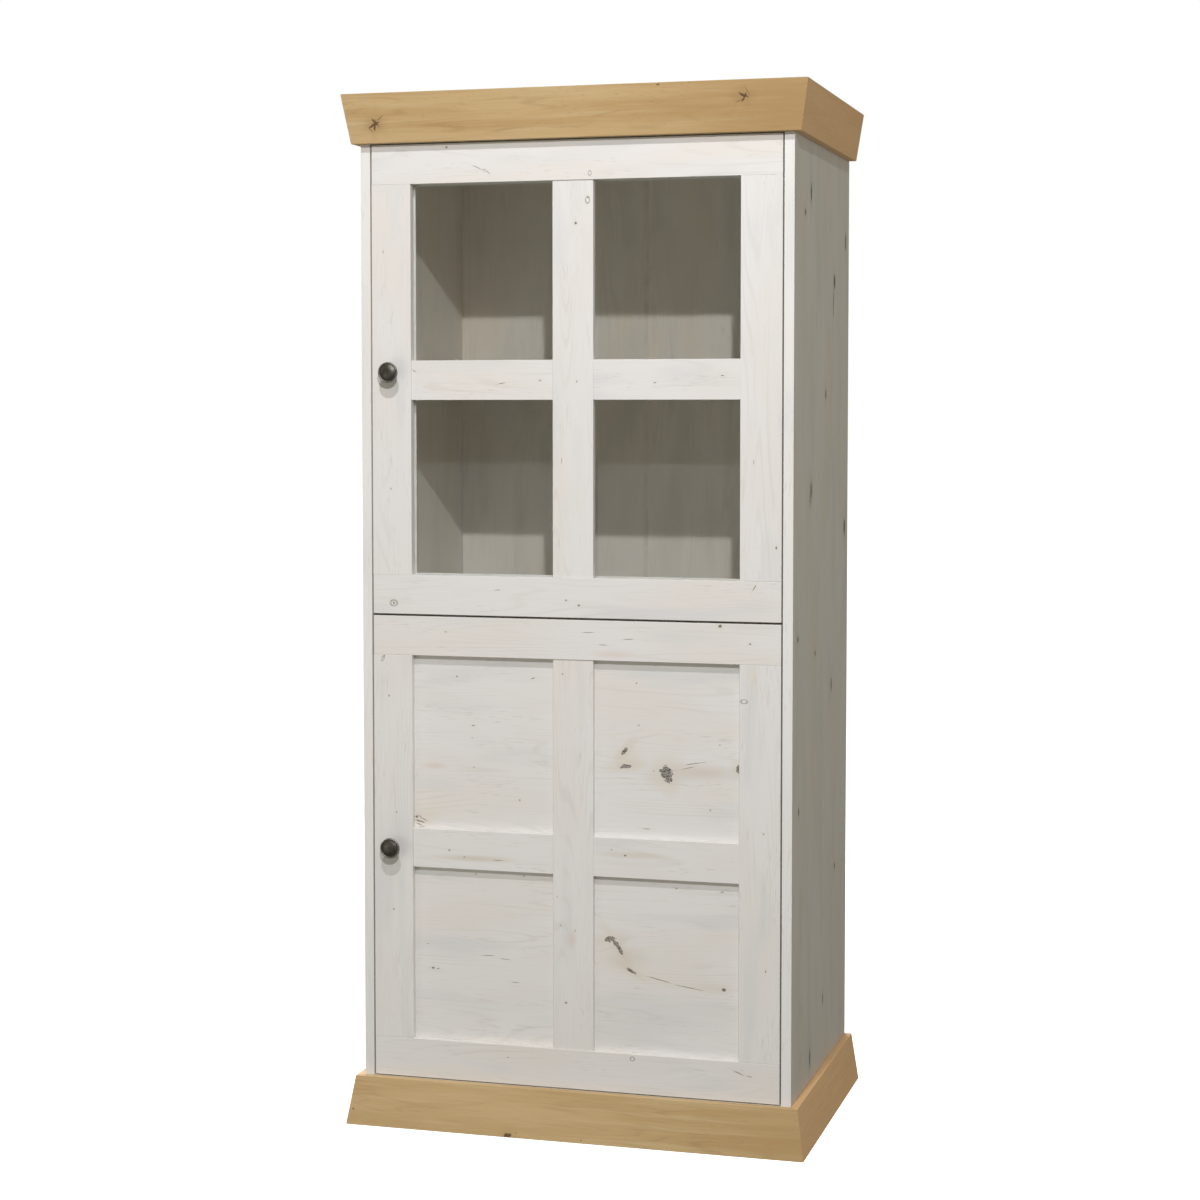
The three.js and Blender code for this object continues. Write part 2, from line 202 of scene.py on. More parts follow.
def nearest_mark(tree, place, marks):
    """Distance to the nearest of some oval marks, as a share of its own half size. A mark is where it lies
    across and along the grain, its half width and half length, and its turn towards the grain's right."""
    nearest = None
    for across, along, half_width, half_length, turn in marks:
        local = add(
            tree,
            "ShaderNodeMapping",
            {
                "Vector": place,
                "Location": (across, 0, along),
                "Rotation": (0, math.radians(turn), 0),
                "Scale": (half_width, 10000, half_length),
            },
            vector_type="TEXTURE",
        )
        away = add(tree, "ShaderNodeVectorMath", {0: local}, operation="LENGTH", give="Value")
        if nearest is None:
            nearest = away
        else:
            nearest = add(tree, "ShaderNodeMath", {0: nearest, 1: away}, operation="MINIMUM")
    return nearest


def frayed_marks(tree, place, marks, noise, fray, low, high):
    """Oval marks with a frayed edge: the distance to the nearest one, and a share that is 1 on a mark."""
    away = nearest_mark(tree, place, marks)
    edge = add(tree, "ShaderNodeMath", {0: noise, 1: fray, 2: away}, operation="MULTIPLY_ADD")
    share = add(
        tree,
        "ShaderNodeMapRange",
        {"Value": edge, "From Min": low, "From Max": high},
        interpolation_type="SMOOTHSTEP",
    )
    return away, share


def embossed_foil(tree, shader, colour, fibre, dark, fibre_lift, depth):
    """The matt lacquer of a printed foil, rougher on the fibres, with fibres and dark marks pressed in."""
    tree.links.new(colour, shader.inputs["Base Color"])
    rough = add(
        tree,
        "ShaderNodeMapRange",
        {"Value": fibre, "From Min": 0.3, "From Max": 0.75, "To Min": 0.46, "To Max": 0.6},
    )
    tree.links.new(rough, shader.inputs["Roughness"])
    pressed = add(tree, "ShaderNodeMath", {0: dark, 1: -1.0}, operation="MULTIPLY")
    relief = add(tree, "ShaderNodeMath", {0: fibre, 1: fibre_lift, 2: pressed}, operation="MULTIPLY_ADD")
    bump = add(tree, "ShaderNodeBump", {"Height": relief, "Strength": 0.5, "Distance": depth * MM})
    tree.links.new(bump, shader.inputs["Normal"])
    shader.inputs["IOR"].default_value = 1.5


def pine_foil(name, grain, seed, tones=FACE_FOIL, knots=(), pins=(), rings=(), tints=()):
    """Whitewashed pine foil: printed and embossed paper under a matt lacquer. The eye gets a chalky white
    with faint straw and grey fibres, long soft year rings, and a few small dark knots and cracks. It is
    whitest on the doors; the lighter edges are painted light, and the greyer outer sides and the darker,
    creamier inside are painted shade.
    Real fibres are under half a millimetre wide; they are drawn at 2 mm, the finest that shows."""
    shades = {part: linear(code) for part, code in tones.items()}
    material, tree, shader = new_finish(name)
    place = on_board(tree, grain)
    board, grown = sawn_from(tree, place, (137.0 * seed, 61.0 * seed, 911.0 * seed), 90, 420, 9.0)

    straw = figure(tree, board, 110, 380)
    colour = stained(tree, shades["ground"], shades["warm"], straw, 0.42, 0.66)
    milk = figure(tree, board, 60, 300, 2.0, 40)
    colour = stained(tree, colour, shades["cool"], milk, 0.5, 0.72)

    waves = year_rings(tree, grown, 75, 900, 135.0)
    faint = patches(tree, board, 40, 260, 0.42, 0.68, 1.0, 7, 0.2)
    colour = stained(tree, colour, shades["ring"], waves, 0.35, 1.0, faint)
    fibre = figure(tree, grown, 2.2, 75, 3.0)
    colour = stained(tree, colour, shades["ring"], fibre, 0.48, 0.74, 0.13)
    bunches = patches(tree, board, 34, 130, 0.5, 0.66, 1.0, 21)
    tick = patches(tree, grown, 2.6, 26, 0.6, 0.72, 1.0, 13, bunches)
    colour = laid(tree, colour, shades["tick"], tick, 0.2)

    for *tint, hue, strength in tints:
        tinted = frayed_marks(tree, place, [(*tint, 0)], fibre, 0.9, 1.5, 0.5)[1]
        colour = laid(tree, colour, linear(hue), tinted, strength)

    worn = figure(tree, place, 5.0, 5.0, 3.0, 3)
    dark = add(tree, "ShaderNodeMath", {0: tick, 1: 0.5}, operation="MULTIPLY")
    if rings:
        away = nearest_mark(tree, place, rings)
        band = worn
        for low, high in ((1.3, 1.0), (0.55, 0.85)):
            band = add(
                tree,
                "ShaderNodeMapRange",
                {"Value": away, "From Min": low, "From Max": high, "To Max": band},
                interpolation_type="SMOOTHSTEP",
            )
        colour = laid(tree, colour, shades["mark"], band, 1.1)
    if pins:
        away, pin = frayed_marks(tree, place, pins, worn, 0.9, 1.5, 0.95)
        colour = stained(tree, colour, shades["halo"], away, 3.2, 1.0, 0.22)
        colour = laid(tree, colour, shades["mark"], pin, 0.9)
        dark = add(tree, "ShaderNodeMath", {0: dark, 1: pin}, operation="MAXIMUM")
    if knots:
        away, heart = frayed_marks(tree, place, knots, worn, 1.5, 1.62, 1.45)
        colour = stained(tree, colour, shades["halo"], away, 3.6, 0.9, 0.4)
        vein = patches(tree, place, 2.2, 3.0, 0.5, 0.6, 2.0, 31)
        flesh = laid(tree, linear(KNOT_GREY), linear(CRACK_BLACK), vein, 1.0)
        colour = laid(tree, colour, flesh, heart, 1.0)
        crack = add(tree, "ShaderNodeMath", {0: heart, 1: vein}, operation="MULTIPLY")
        dark = add(tree, "ShaderNodeMath", {0: dark, 1: crack}, operation="MAXIMUM")

    embossed_foil(tree, shader, colour, fibre, dark, -0.5, 0.15)
    return material


def block(low, high):
    """A straight-sided block between two corners."""
    mesh = bmesh.new()
    bmesh.ops.create_cube(mesh, size=1)
    low, high = Vector(low), Vector(high)
    for vert in mesh.verts:
        vert.co = Vector(low[i] + (vert.co[i] + 0.5) * (high[i] - low[i]) for i in range(3))
    return mesh


def bar(axis, radius, start, end, centre, sides=24):
    """A round bar or bore along an axis, from start to end; centre gives its other two coordinates."""
    mesh = bmesh.new()
    bmesh.ops.create_cone(
        mesh, cap_ends=True, segments=sides, radius1=radius, radius2=radius, depth=end - start
    )
    turn = {"X": Matrix.Rotation(math.pi / 2, 4, "Y"), "Y": Matrix.Rotation(math.pi / 2, 4, "X")}
    mesh.transform(turn.get(axis, Matrix()))
    middle = (start + end) / 2
    a, b = centre
    spot = {"X": (middle, a, b), "Y": (a, middle, b), "Z": (a, b, middle)}[axis]
    bmesh.ops.translate(mesh, vec=spot, verts=mesh.verts)
    return mesh


def joined(meshes):
    """Several loose meshes as one."""
    whole = bmesh.new()
    carrier = bpy.data.meshes.new("carrier")
    for mesh in meshes:
        mesh.to_mesh(carrier)
        mesh.free()
        whole.from_mesh(carrier)
    bpy.data.meshes.remove(carrier)
    return whole


def piece_of(name, mesh, materials):
    """A new object made of a mesh, with its finishes."""
    bmesh.ops.recalc_face_normals(mesh, faces=mesh.faces)
    data = bpy.data.meshes.new(name)
    mesh.to_mesh(data)
    mesh.free()
    for material in materials:
        data.materials.append(material)
    data.shade_smooth()
    piece = bpy.data.objects.new(name, data)
    bpy.context.scene.collection.objects.link(piece)
    return piece


def cut(piece, tools):
    """Cuts pockets and bores out of a piece."""
    tool = piece_of("tool", joined(tools), [])
    saw = piece.modifiers.new("saw", "BOOLEAN")
    saw.object = tool
    saw.operation = "DIFFERENCE"
    saw.solver = "EXACT"
    scene_now = bpy.context.evaluated_depsgraph_get()
    cut_mesh = bpy.data.meshes.new_from_object(piece.evaluated_get(scene_now))
    piece.modifiers.clear()
    piece.data = cut_mesh
    bpy.data.objects.remove(tool)


def ease(piece, arris, segments=3, angle=40):
    """Rounds every sharp edge of a piece by the arris, in millimetres, and keeps its faces flat."""
    rounding = piece.modifiers.new("arris", "BEVEL")
    rounding.width = arris * MM
    rounding.segments = segments
    rounding.limit_method = "ANGLE"
    rounding.angle_limit = math.radians(angle)
    rounding.use_clamp_overlap = True
    flat = piece.modifiers.new("flat_faces", "WEIGHTED_NORMAL")
    flat.keep_sharp = True


def fit(piece, body, slot, *nodes):
    """Fixes a piece to the body it moves with, in place of the plain solids it stands for."""
    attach(piece, body)
    if nodes:
        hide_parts(*nodes)


def corners(node):
    low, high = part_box(node)
    return low.copy(), high.copy()


pin_places = [
    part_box(f"{shelf}_shelf_pin_left_{row}") for shelf in ("lower", "upper") for row in ("front", "rear")
]
back_low, back_high = corners("back_sheet_left")

RIGHT_MARKS = [
    (-109, 1808, 7.1, 22, 2),
    (-166, 1767, 6.9, 8, 0),
    (138, 1652, 10.9, 18, -2),
    (128, 1608, 3.6, 33, 3),
    (262, 1739, 7.1, 23, 0),
    (49, 1427, 6.4, 12, 4),
    (-98, 1244, 10.1, 16, -8),
    (-108, 1228, 4.9, 18, 12),
    (263, 1156, 10.1, 21, 0),
    (123, 846, 6.4, 17, 0),
    (-50, 925, 5.5, 7, 0),
    (-222, 967, 7.1, 7, 0),
    (-208, 640, 5.9, 9, 0),
    (170, 470, 5.9, 8, 3),
    (-86, 140, 6.4, 23, 0),
    (47, 226, 4.5, 12, 0),
]
LEFT_MARKS = [
    (-150, 1710, 5.1, 15, 2),
    (60, 1690, 4.6, 9, 0),
    (200, 1502, 7.2, 16, -3),
    (-40, 1330, 4.9, 11, 0),
    (-190, 1120, 5.8, 13, 4),
    (110, 905, 7.8, 18, 0),
    (240, 700, 4.2, 10, 0),
    (-120, 560, 4.9, 13, -4),
    (30, 320, 6.5, 15, 2),
    (190, 150, 4.2, 9, 0),
]
SIDE_KNOTS = {"left": [(96, 1180, 8, 18, 0)], "right": [(-96, 1238, 7, 12, 10)]}

for side, seed, marks in (("left", 3, LEFT_MARKS), ("right", 4, RIGHT_MARKS)):
    low, high = corners(f"{side}_side_panel")
    inner = high.x if side == "left" else low.x
    outward = -1 if side == "left" else 1
    reach = inner + outward * PIN_HOLE_DEPTH * MM
    span = sorted((inner - outward * MM, reach))
    bores = []
    for pin_low, pin_high in pin_places:
        for rise in (-PIN_PITCH, 0, PIN_PITCH):
            centre = ((pin_low.y + pin_high.y) / 2, (pin_low.z + pin_high.z) / 2 + rise * MM)
            bores.append(bar("X", PIN_BORE * MM, span[0], span[1], centre, 16))
    groove_x = sorted((inner - outward * MM, inner + outward * GROOVE_DEPTH * MM))
    groove = block(
        (groove_x[0], back_low.y - GROOVE_FIT * MM, back_low.z - MM),
        (groove_x[1], back_high.y + GROOVE_FIT * MM, high.z + MM),
    )
    # The edges are painted light, the outer face is painted shade in grey, and the inner face is painted
    # shade, darker and warmer.
    foils = [
        pine_foil(f"pine_foil_side_{side}_edge", "YZ", seed, EDGE_FOIL_PAINTED_LIGHT),
        pine_foil(f"pine_foil_side_{side}_outer", "YZ", seed, SIDE_FOIL_PAINTED_SHADE, SIDE_KNOTS[side], marks),
        pine_foil(f"pine_foil_side_{side}_inner", "YZ", seed + 60, INNER_FOIL_PAINTED_SHADE),
    ]
    panel = piece_of(f"{side}_side_panel_board", block(low, high), foils)
    cut(panel, [groove, *bores])
    for face in panel.data.polygons:
        facing = face.normal.x * outward
        face.material_index = 1 if facing > 0.5 else 2 if facing < -0.5 else 0
    ease(panel, SIDE_ARRIS, 2)
    fit(panel, "root", "pine_foil", f"{side}_side_panel")


# ---------------------------------------------------------------------------------------------------
# Bottom, middle and top panels. Particle board in the same foil, grain running from side to side, held
# by dowels and cams. The middle one stands back behind the gap between the two doors.

PANEL_ARRIS = 0.8
PANEL_PINS = [(-60, 210, 1.8, 5, 0), (120, -150, 1.4, 4, 0)]

for node, seed in (("bottom_panel", 5), ("middle_panel", 6), ("top_panel", 7)):
    low, high = corners(node)
    # These panels take the darker, warmer copy of the foil, as painted shade.
    foil = pine_foil(f"pine_foil_{node}", "YX", seed, INNER_FOIL_PAINTED_SHADE, pins=PANEL_PINS)
    panel = piece_of(f"{node}_board", block(low, high), [foil])
    ease(panel, PANEL_ARRIS, 2)
    fit(panel, "root", "pine_foil", node)


# ---------------------------------------------------------------------------------------------------
# Back. Two sheets of 4 mm hardboard, printed with the pine on the inside and bare brown fibre behind,
# slid into the grooves and joined down the middle by a white plastic strip of H section.

HARDBOARD_BROWN = "#A08360"
HARDBOARD_DARK = "#8E704D"
HARDBOARD_FLECK = "#BB9C76"
PVC_WHITE = "#E9E8E4"
PVC_WHITE_DIM = "#DEDCD6"
# Painted shade: a darker cream copy of the white plastic, for the joint strip inside the cabinet.
PVC_PAINTED_SHADE = "#DAD4C9"
PVC_PAINTED_SHADE_DIM = "#D0C9BD"
SHEET_ARRIS = 0.3
STRIP_HALF = 5
STRIP_WEB = 0.7
STRIP_FIT = 0.2
STRIP_CROWN = 0.25
STRIP_FLAT = 0.7
STRIP_ARRIS = 0.15
BACK_PINS = {"left": [(-150, 1600, 1.2, 5, 0)], "right": [(210, 1690, 1.2, 6, 0)]}


def hardboard(name):
    """Hardboard: wood fibre pressed flat and hot. The eye gets a brown leathery skin, mottled at two or
    three centimetres, with pale flecks of single fibres drawn at 1.5 mm."""
    material, tree, shader = new_finish(name)
    place = on_board(tree, "XZ")
    mottle = patches(tree, place, 26, 34, 0.25, 0.8, 5.0)
    colour = laid(tree, linear(HARDBOARD_BROWN), linear(HARDBOARD_DARK), mottle, 1.0)
    fleck = patches(tree, place, 1.5, 4.0, 0.6, 0.75, 2.0, 5)
    colour = laid(tree, colour, linear(HARDBOARD_FLECK), fleck, 0.45)
    tree.links.new(colour, shader.inputs["Base Color"])
    rough = add(tree, "ShaderNodeMapRange", {"Value": mottle, "To Min": 0.5, "To Max": 0.68})
    tree.links.new(rough, shader.inputs["Roughness"])
    pressed = add(tree, "ShaderNodeBump", {"Height": fleck, "Strength": 0.4, "Distance": 0.12 * MM})
    tree.links.new(pressed, shader.inputs["Normal"])
    return material


def moulded_pvc(name, pale, dim):
    """Moulded PVC: the eye gets a clean plain colour with a soft sheen and a faint orange peel."""
    material, tree, shader = new_finish(name)
    place = on_board(tree, "XZ")
    cloud = figure(tree, place, 14, 30, 2.0)
    colour = stained(tree, linear(pale), linear(dim), cloud, 0.4, 0.7)
    tree.links.new(colour, shader.inputs["Base Color"])
    rough = add(tree, "ShaderNodeMapRange", {"Value": cloud, "To Min": 0.34, "To Max": 0.46})
    tree.links.new(rough, shader.inputs["Roughness"])
    dimples = figure(tree, place, 1.2, 1.2, 1.0)
    peel = add(tree, "ShaderNodeBump", {"Height": dimples, "Strength": 0.15, "Distance": 0.05 * MM})
    tree.links.new(peel, shader.inputs["Normal"])
    shader.inputs["IOR"].default_value = 1.53
    return material


bare_back = hardboard("hardboard_bare")
pvc = moulded_pvc("pvc_white", PVC_WHITE, PVC_WHITE_DIM)
strip_pvc_painted_shade = moulded_pvc("pvc_white_painted_shade", PVC_PAINTED_SHADE, PVC_PAINTED_SHADE_DIM)
for side, seed in (("left", 8), ("right", 9)):
    low, high = corners(f"back_sheet_{side}")
    # The front face takes the darker, warmer copy of the foil, as painted shade.
    foil = pine_foil(f"pine_foil_back_{side}", "XZ", seed, INNER_FOIL_PAINTED_SHADE, pins=BACK_PINS[side])
    sheet = piece_of(f"back_sheet_{side}_hardboard", block(low, high), [foil, bare_back])
    for face in sheet.data.polygons:
        face.material_index = 0 if face.normal.y < -0.5 else 1
    ease(sheet, SHEET_ARRIS, 1)
    fit(sheet, "root", "back_board", f"back_sheet_{side}")


def pushed(outline, axis, start, end):
    """An outline of points across an axis, pushed along it from start to end."""
    mesh = bmesh.new()

    def spot(a, b, t):
        return {"X": (t, a, b), "Y": (a, t, b), "Z": (a, b, t)}[axis]

    near = [mesh.verts.new(spot(a, b, start)) for a, b in outline]
    far = [mesh.verts.new(spot(a, b, end)) for a, b in outline]
    mesh.faces.new(near)
    mesh.faces.new(reversed(far))
    for i, vert in enumerate(near):
        nxt = (i + 1) % len(near)
        mesh.faces.new((vert, far[i], far[nxt], near[nxt]))
    return mesh


strip_low, strip_high = corners("back_joint_strip")
slot_front = back_low.y - STRIP_FIT * MM
slot_rear = back_high.y + STRIP_FIT * MM
half, web = STRIP_HALF * MM, STRIP_WEB * MM
crown = STRIP_CROWN * MM
flat = half * STRIP_FLAT
strip_outline = [
    (-half, slot_front),
    (-half, strip_low.y + crown),
    (-flat, strip_low.y),
    (flat, strip_low.y),
    (half, strip_low.y + crown),
    (half, slot_front),
    (web, slot_front),
    (web, slot_rear),
    (half, slot_rear),
    (half, strip_high.y - crown),
    (flat, strip_high.y),
    (-flat, strip_high.y),
    (-half, strip_high.y - crown),
    (-half, slot_rear),
    (-web, slot_rear),
    (-web, slot_front),
]
strip_mesh = pushed(strip_outline, "Z", strip_low.z, strip_high.z)
# The strip is white plastic drawn in the darker cream copy, as painted shade.
strip = piece_of("back_joint_strip_moulded", strip_mesh, [strip_pvc_painted_shade])
ease(strip, STRIP_ARRIS, 1, 60)
fit(strip, "root", "white_plastic", "back_joint_strip")


# ---------------------------------------------------------------------------------------------------
# Shelves. Two loose 18 mm boards in the pine foil, each lying on four plain steel pins that can move
# to the holes above and below.

STEEL_BRIGHT = "#C9C8C4"
STEEL_DULL = "#A8A7A3"


def bright_steel(name):
    """Nickel-plated steel: the eye gets a grey mirror softened by fine rubbing marks, drawn 1 mm wide."""
    material, tree, shader = new_finish(name)
    place = on_board(tree, "XZ")
    rub = figure(tree, place, 1.0, 9.0, 3.0)
    colour = stained(tree, linear(STEEL_BRIGHT), linear(STEEL_DULL), rub, 0.35, 0.75)
    tree.links.new(colour, shader.inputs["Base Color"])
    shader.inputs["Metallic"].default_value = 1.0
    rough = add(tree, "ShaderNodeMapRange", {"Value": rub, "To Min": 0.2, "To Max": 0.42})
    tree.links.new(rough, shader.inputs["Roughness"])
    scuff = add(tree, "ShaderNodeBump", {"Height": rub, "Strength": 0.12, "Distance": 0.05 * MM})
    tree.links.new(scuff, shader.inputs["Normal"])
    return material


PIN_ARRIS = 0.6
SHELF_PINS = [(40, -120, 1.6, 5, 0), (-90, 240, 1.3, 4, 0)]
steel = bright_steel("steel_nickel_plated")
for shelf, seed in (("lower", 10), ("upper", 11)):
    low, high = corners(f"{shelf}_shelf")
    # The shelves take the darker, warmer copy of the foil, as painted shade.
    foil = pine_foil(f"pine_foil_{shelf}_shelf", "YX", seed, INNER_FOIL_PAINTED_SHADE, pins=SHELF_PINS)
    board = piece_of(f"{shelf}_shelf_board", block(low, high), [foil])
    ease(board, PANEL_ARRIS, 2)
    fit(board, "root", "pine_foil", f"{shelf}_shelf")
    for side in ("left", "right"):
        for row in ("front", "rear"):
            node = f"{shelf}_shelf_pin_{side}_{row}"
            pin_low, pin_high = corners(node)
            centre = ((pin_low.y + pin_high.y) / 2, (pin_low.z + pin_high.z) / 2)
            radius = (pin_high.z - pin_low.z) / 2
            pin = piece_of(f"{node}_turned", bar("X", radius, pin_low.x, pin_high.x, centre), [steel])
            ease(pin, PIN_ARRIS, 2, 60)
            fit(pin, "root", "steel", node)


# ---------------------------------------------------------------------------------------------------
# Door frames. Rails run the full width; stiles, mullion and cross bars stand between them. Each member
# is 22 mm board wrapped in foil over slightly rounded edges, glued and dowelled, so every joint shows
# as a fine line. The mullion and bars lie 2 mm behind the face. A pocket at the back takes the infill.

FRAME_ARRIS = 0.9
POCKET_FIT = 0.3
SCREW_HOLE = 2.3
CUP_BORE = 17.6
CUP_BORE_DEPTH = 11.8

BLUSH = "#DCC8BA"
UPPER_MARKS = {
    "top_rail": {
        "pins": [(1896, -250, 2.2, 2.6, 0), (1856, -188, 0.7, 13, -25), (1846, -166, 0.7, 5, -50)],
        "rings": [(1850, -173, 2.2, 4.5, -30), (1840, 34, 4.6, 3.2, 0)],
    },
    "bottom_rail": {
        "pins": [
            (1023, -361, 2.2, 2.6, 0),
            (1035, -13, 1.7, 2.2, 0),
            (1026, 12, 2.1, 2.8, 0),
            (1066, 352, 0.9, 8, 60),
            (1052, -150, 0.7, 8, 6),
        ],
        "rings": [(1023, -361, 6.0, 7.5, 0)],
    },
    "left_stile": {"pins": [(-366, 1244, 1.1, 2.4, 0), (-380, 1700, 0.7, 4, 0)]},
    "right_stile": {"pins": [(393, 1141, 1.8, 3.6, 0), (350, 1300, 0.6, 6, 0)]},
    "mullion": {
        "pins": [(6, 1747, 2.8, 3.0, 0), (8, 1450, 1.3, 1.8, 0), (30, 1795, 2.0, 1.8, 0),
                 (-22, 1300, 0.6, 7, 0)],
        "rings": [(29, 1790, 4.2, 6.5, 0)],
    },
    "left_bar": {
        "pins": [(1447, -140, 0.9, 9, 8), (1452, -65, 1.4, 2.6, 0), (1471, -318, 0.9, 5, -30)],
    },
    "right_bar": {"pins": [(1447, 160, 1.3, 2.8, 0), (1460, 290, 1.0, 4, 0)]},
}
LOWER_MARKS = {
    "top_rail": {
        "pins": [(969, -255, 0.8, 3.6, 0), (993, 287, 3.4, 4.4, 0), (961, 344, 1.8, 2.6, 0),
                 (964, 110, 0.7, 12, 4), (952, 60, 0.6, 10, -3), (975, 30, 0.6, 14, 2)],
        "tints": [(935, 80, 10, 60, BLUSH, 0.4)],
    },
    "bottom_rail": {
        "pins": [(151, 325, 0.9, 14, -22), (146, 345, 0.7, 8, -10), (148, -130, 0.7, 3, 0)],
        "rings": [(163, 118, 4.0, 4.6, 0)],
    },
    "left_stile": {
        "pins": [(-382, 918, 0.8, 5, 28), (-372, 842, 1.5, 2.2, 0), (-357, 615, 1.0, 2.0, 0),
                 (-364, 424, 1.8, 1.8, 0)],
        "rings": [(-384, 915, 2.6, 6, 24)],
    },
    "right_stile": {
        "pins": [(371, 606, 1.4, 1.6, 0), (376, 347, 1.2, 2.6, 0)],
        "rings": [(333, 853, 6.5, 4.0, 0)],
        "tints": [(350, 900, 14, 40, "#E3DCCB", 0.5)],
    },
    "mullion": {
        "pins": [(-21, 894, 1.6, 1.6, 0), (-25, 411, 1.3, 1.3, 0), (-14, 262, 2.2, 2.6, 0),
                 (4, 402, 0.8, 2, 0), (-32, 466, 0.9, 1.6, 0)],
        "tints": [(-2, 385, 13, 24, BLUSH, 0.45)],
    },
    "left_bar": {
        "pins": [(545, -250, 1.6, 2.4, 0), (533, -219, 1.2, 2.6, 0), (530, -150, 0.7, 14, 0)],
        "tints": [(531, -200, 9, 110, "#CFC3AE", 0.6)],
    },
    "right_bar": {
        "pins": [(562, 76, 1.2, 1.8, 0), (552, 103, 2.0, 2.8, 0)],
        "tints": [(553, 120, 9, 90, "#CFC3AE", 0.45)],
    },
}
MEMBERS = {
    "top_rail": "ZX",
    "bottom_rail": "ZX",
    "left_stile": "XZ",
    "right_stile": "XZ",
    "mullion": "XZ",
    "left_bar": "ZX",
    "right_bar": "ZX",
}

for door, infill, marks, first_seed in (
    ("upper_door", "glass", UPPER_MARKS, 12),
    ("lower_door", "panel", LOWER_MARKS, 24),
):
    infill_low, infill_high = corners(f"{door}_{infill}")
    stile_low, stile_high = corners(f"{door}_right_stile")
    grow = POCKET_FIT * MM
    pocket_back = stile_high.y + MM if infill == "glass" else infill_high.y + grow
    knob_low, knob_high = corners(f"{door}_knob")
    knob_centre = ((knob_low.x + knob_high.x) / 2, (knob_low.z + knob_high.z) / 2)
    for seed, (member, grain) in enumerate(MEMBERS.items(), first_seed):
        low, high = corners(f"{door}_{member}")
        foil = pine_foil(f"pine_foil_{door}_{member}", grain, seed, **marks[member])
        part = piece_of(f"{door}_{member}_board", block(low, high), [foil])
        tools = []
        if member in ("top_rail", "bottom_rail", "left_stile", "right_stile"):
            tools.append(
                block(
                    (infill_low.x - grow, infill_low.y - grow, infill_low.z - grow),
                    (infill_high.x + grow, pocket_back, infill_high.z + grow),
                )
            )
        if member == "left_stile":
            tools.append(bar("Y", SCREW_HOLE * MM, low.y - MM, high.y + MM, knob_centre, 16))
        if member == "right_stile":
            for level in ("lower", "upper"):
                cup_low, cup_high = corners(f"{door}_hinge_cup_{level}")
                cup_centre = ((cup_low.x + cup_high.x) / 2, (cup_low.z + cup_high.z) / 2)
                floor = high.y - CUP_BORE_DEPTH * MM
                tools.append(bar("Y", CUP_BORE * MM, floor, high.y + MM, cup_centre, 48))
        if tools:
            cut(part, tools)
        ease(part, FRAME_ARRIS, 3)
        fit(part, door, "pine_foil", f"{door}_{member}")


# ---------------------------------------------------------------------------------------------------
# Lower door panel. One 5 mm board in the pine foil, grain lying across, let into the frame behind the
# mullion and the bars, so it shows as four sunken fields.

FIELDS = {
    "upper_left": {
        "pins": [
            (882, -237, 1.5, 2.4, 0),
            (883, -83, 0.9, 4.0, 20),
            (788, -204, 1.0, 3.0, 0),
            (764, -206, 0.8, 2.0, 0),
            (707, -203, 1.0, 1.6, 0),
            (647, -110, 1.6, 1.8, 0),
            (591, -315, 0.9, 8, -14),
            (607, -314, 0.9, 6, -35),
            (601, -305, 0.8, 9, -22),
            (587, -308, 0.7, 7, 8),
        ],
        "knots": [(606, -321, 2.8, 4, 0), (597, -313, 1.7, 13, -12)],
        "tints": [(707, -283, 9, 34, BLUSH, 0.5), (610, -300, 22, 40, "#DDD3C0", 0.4)],
    },
    "upper_right": {
        "pins": [
            (880, 122, 1.1, 1.8, 0),
            (800, 127, 1.4, 1.6, 0),
            (768, 284, 1.0, 1.6, 0),
            (644, 266, 1.8, 1.8, 0),
            (603, 142, 0.7, 8.0, 0),
            (714, 156, 1.0, 2.2, 30),
            (731, 235, 0.7, 26, 10),
            (722, 222, 0.6, 20, 14),
        ],
        "knots": [
            (712, 180, 13, 15, 30),
            (704, 186, 15, 9, 0),
            (750, 99, 4.0, 12, 50),
            (721, 102, 4.2, 17, 8),
            (724, 319, 8, 5, 0),
        ],
        "tints": [(735, 105, 34, 42, "#DBD4C5", 0.5), (715, 250, 20, 90, "#D3C6B4", 0.5)],
    },
    "lower_left": {
        "pins": [
            (500, -102, 1.5, 2.2, 0),
            (499, -199, 1.2, 2.4, 0),
            (357, -298, 0.8, 2.0, 0),
            (310, -288, 2.2, 3.6, 0),
            (309, -277, 1.0, 2.6, 0),
            (341, -175, 0.6, 16, 3),
            (336, -140, 0.6, 12, -4),
            (292, -120, 0.6, 10, 0),
        ],
    },
    "lower_right": {
        "pins": [
            (492, 201, 1.5, 2.0, 0),
            (490, 289, 1.0, 4.0, 10),
            (304, 293, 4.0, 5.0, 0),
            (316, 165, 0.8, 30, -12),
            (304, 225, 0.8, 34, -8),
        ],
        "knots": [(388, 71, 6, 14, 12), (375, 85, 4.6, 23, -54), (329, 112, 3.4, 15, -30)],
        "tints": [(352, 100, 34, 60, "#D6CDBE", 0.5), (306, 270, 16, 60, "#D6CDBE", 0.35)],
    },
}

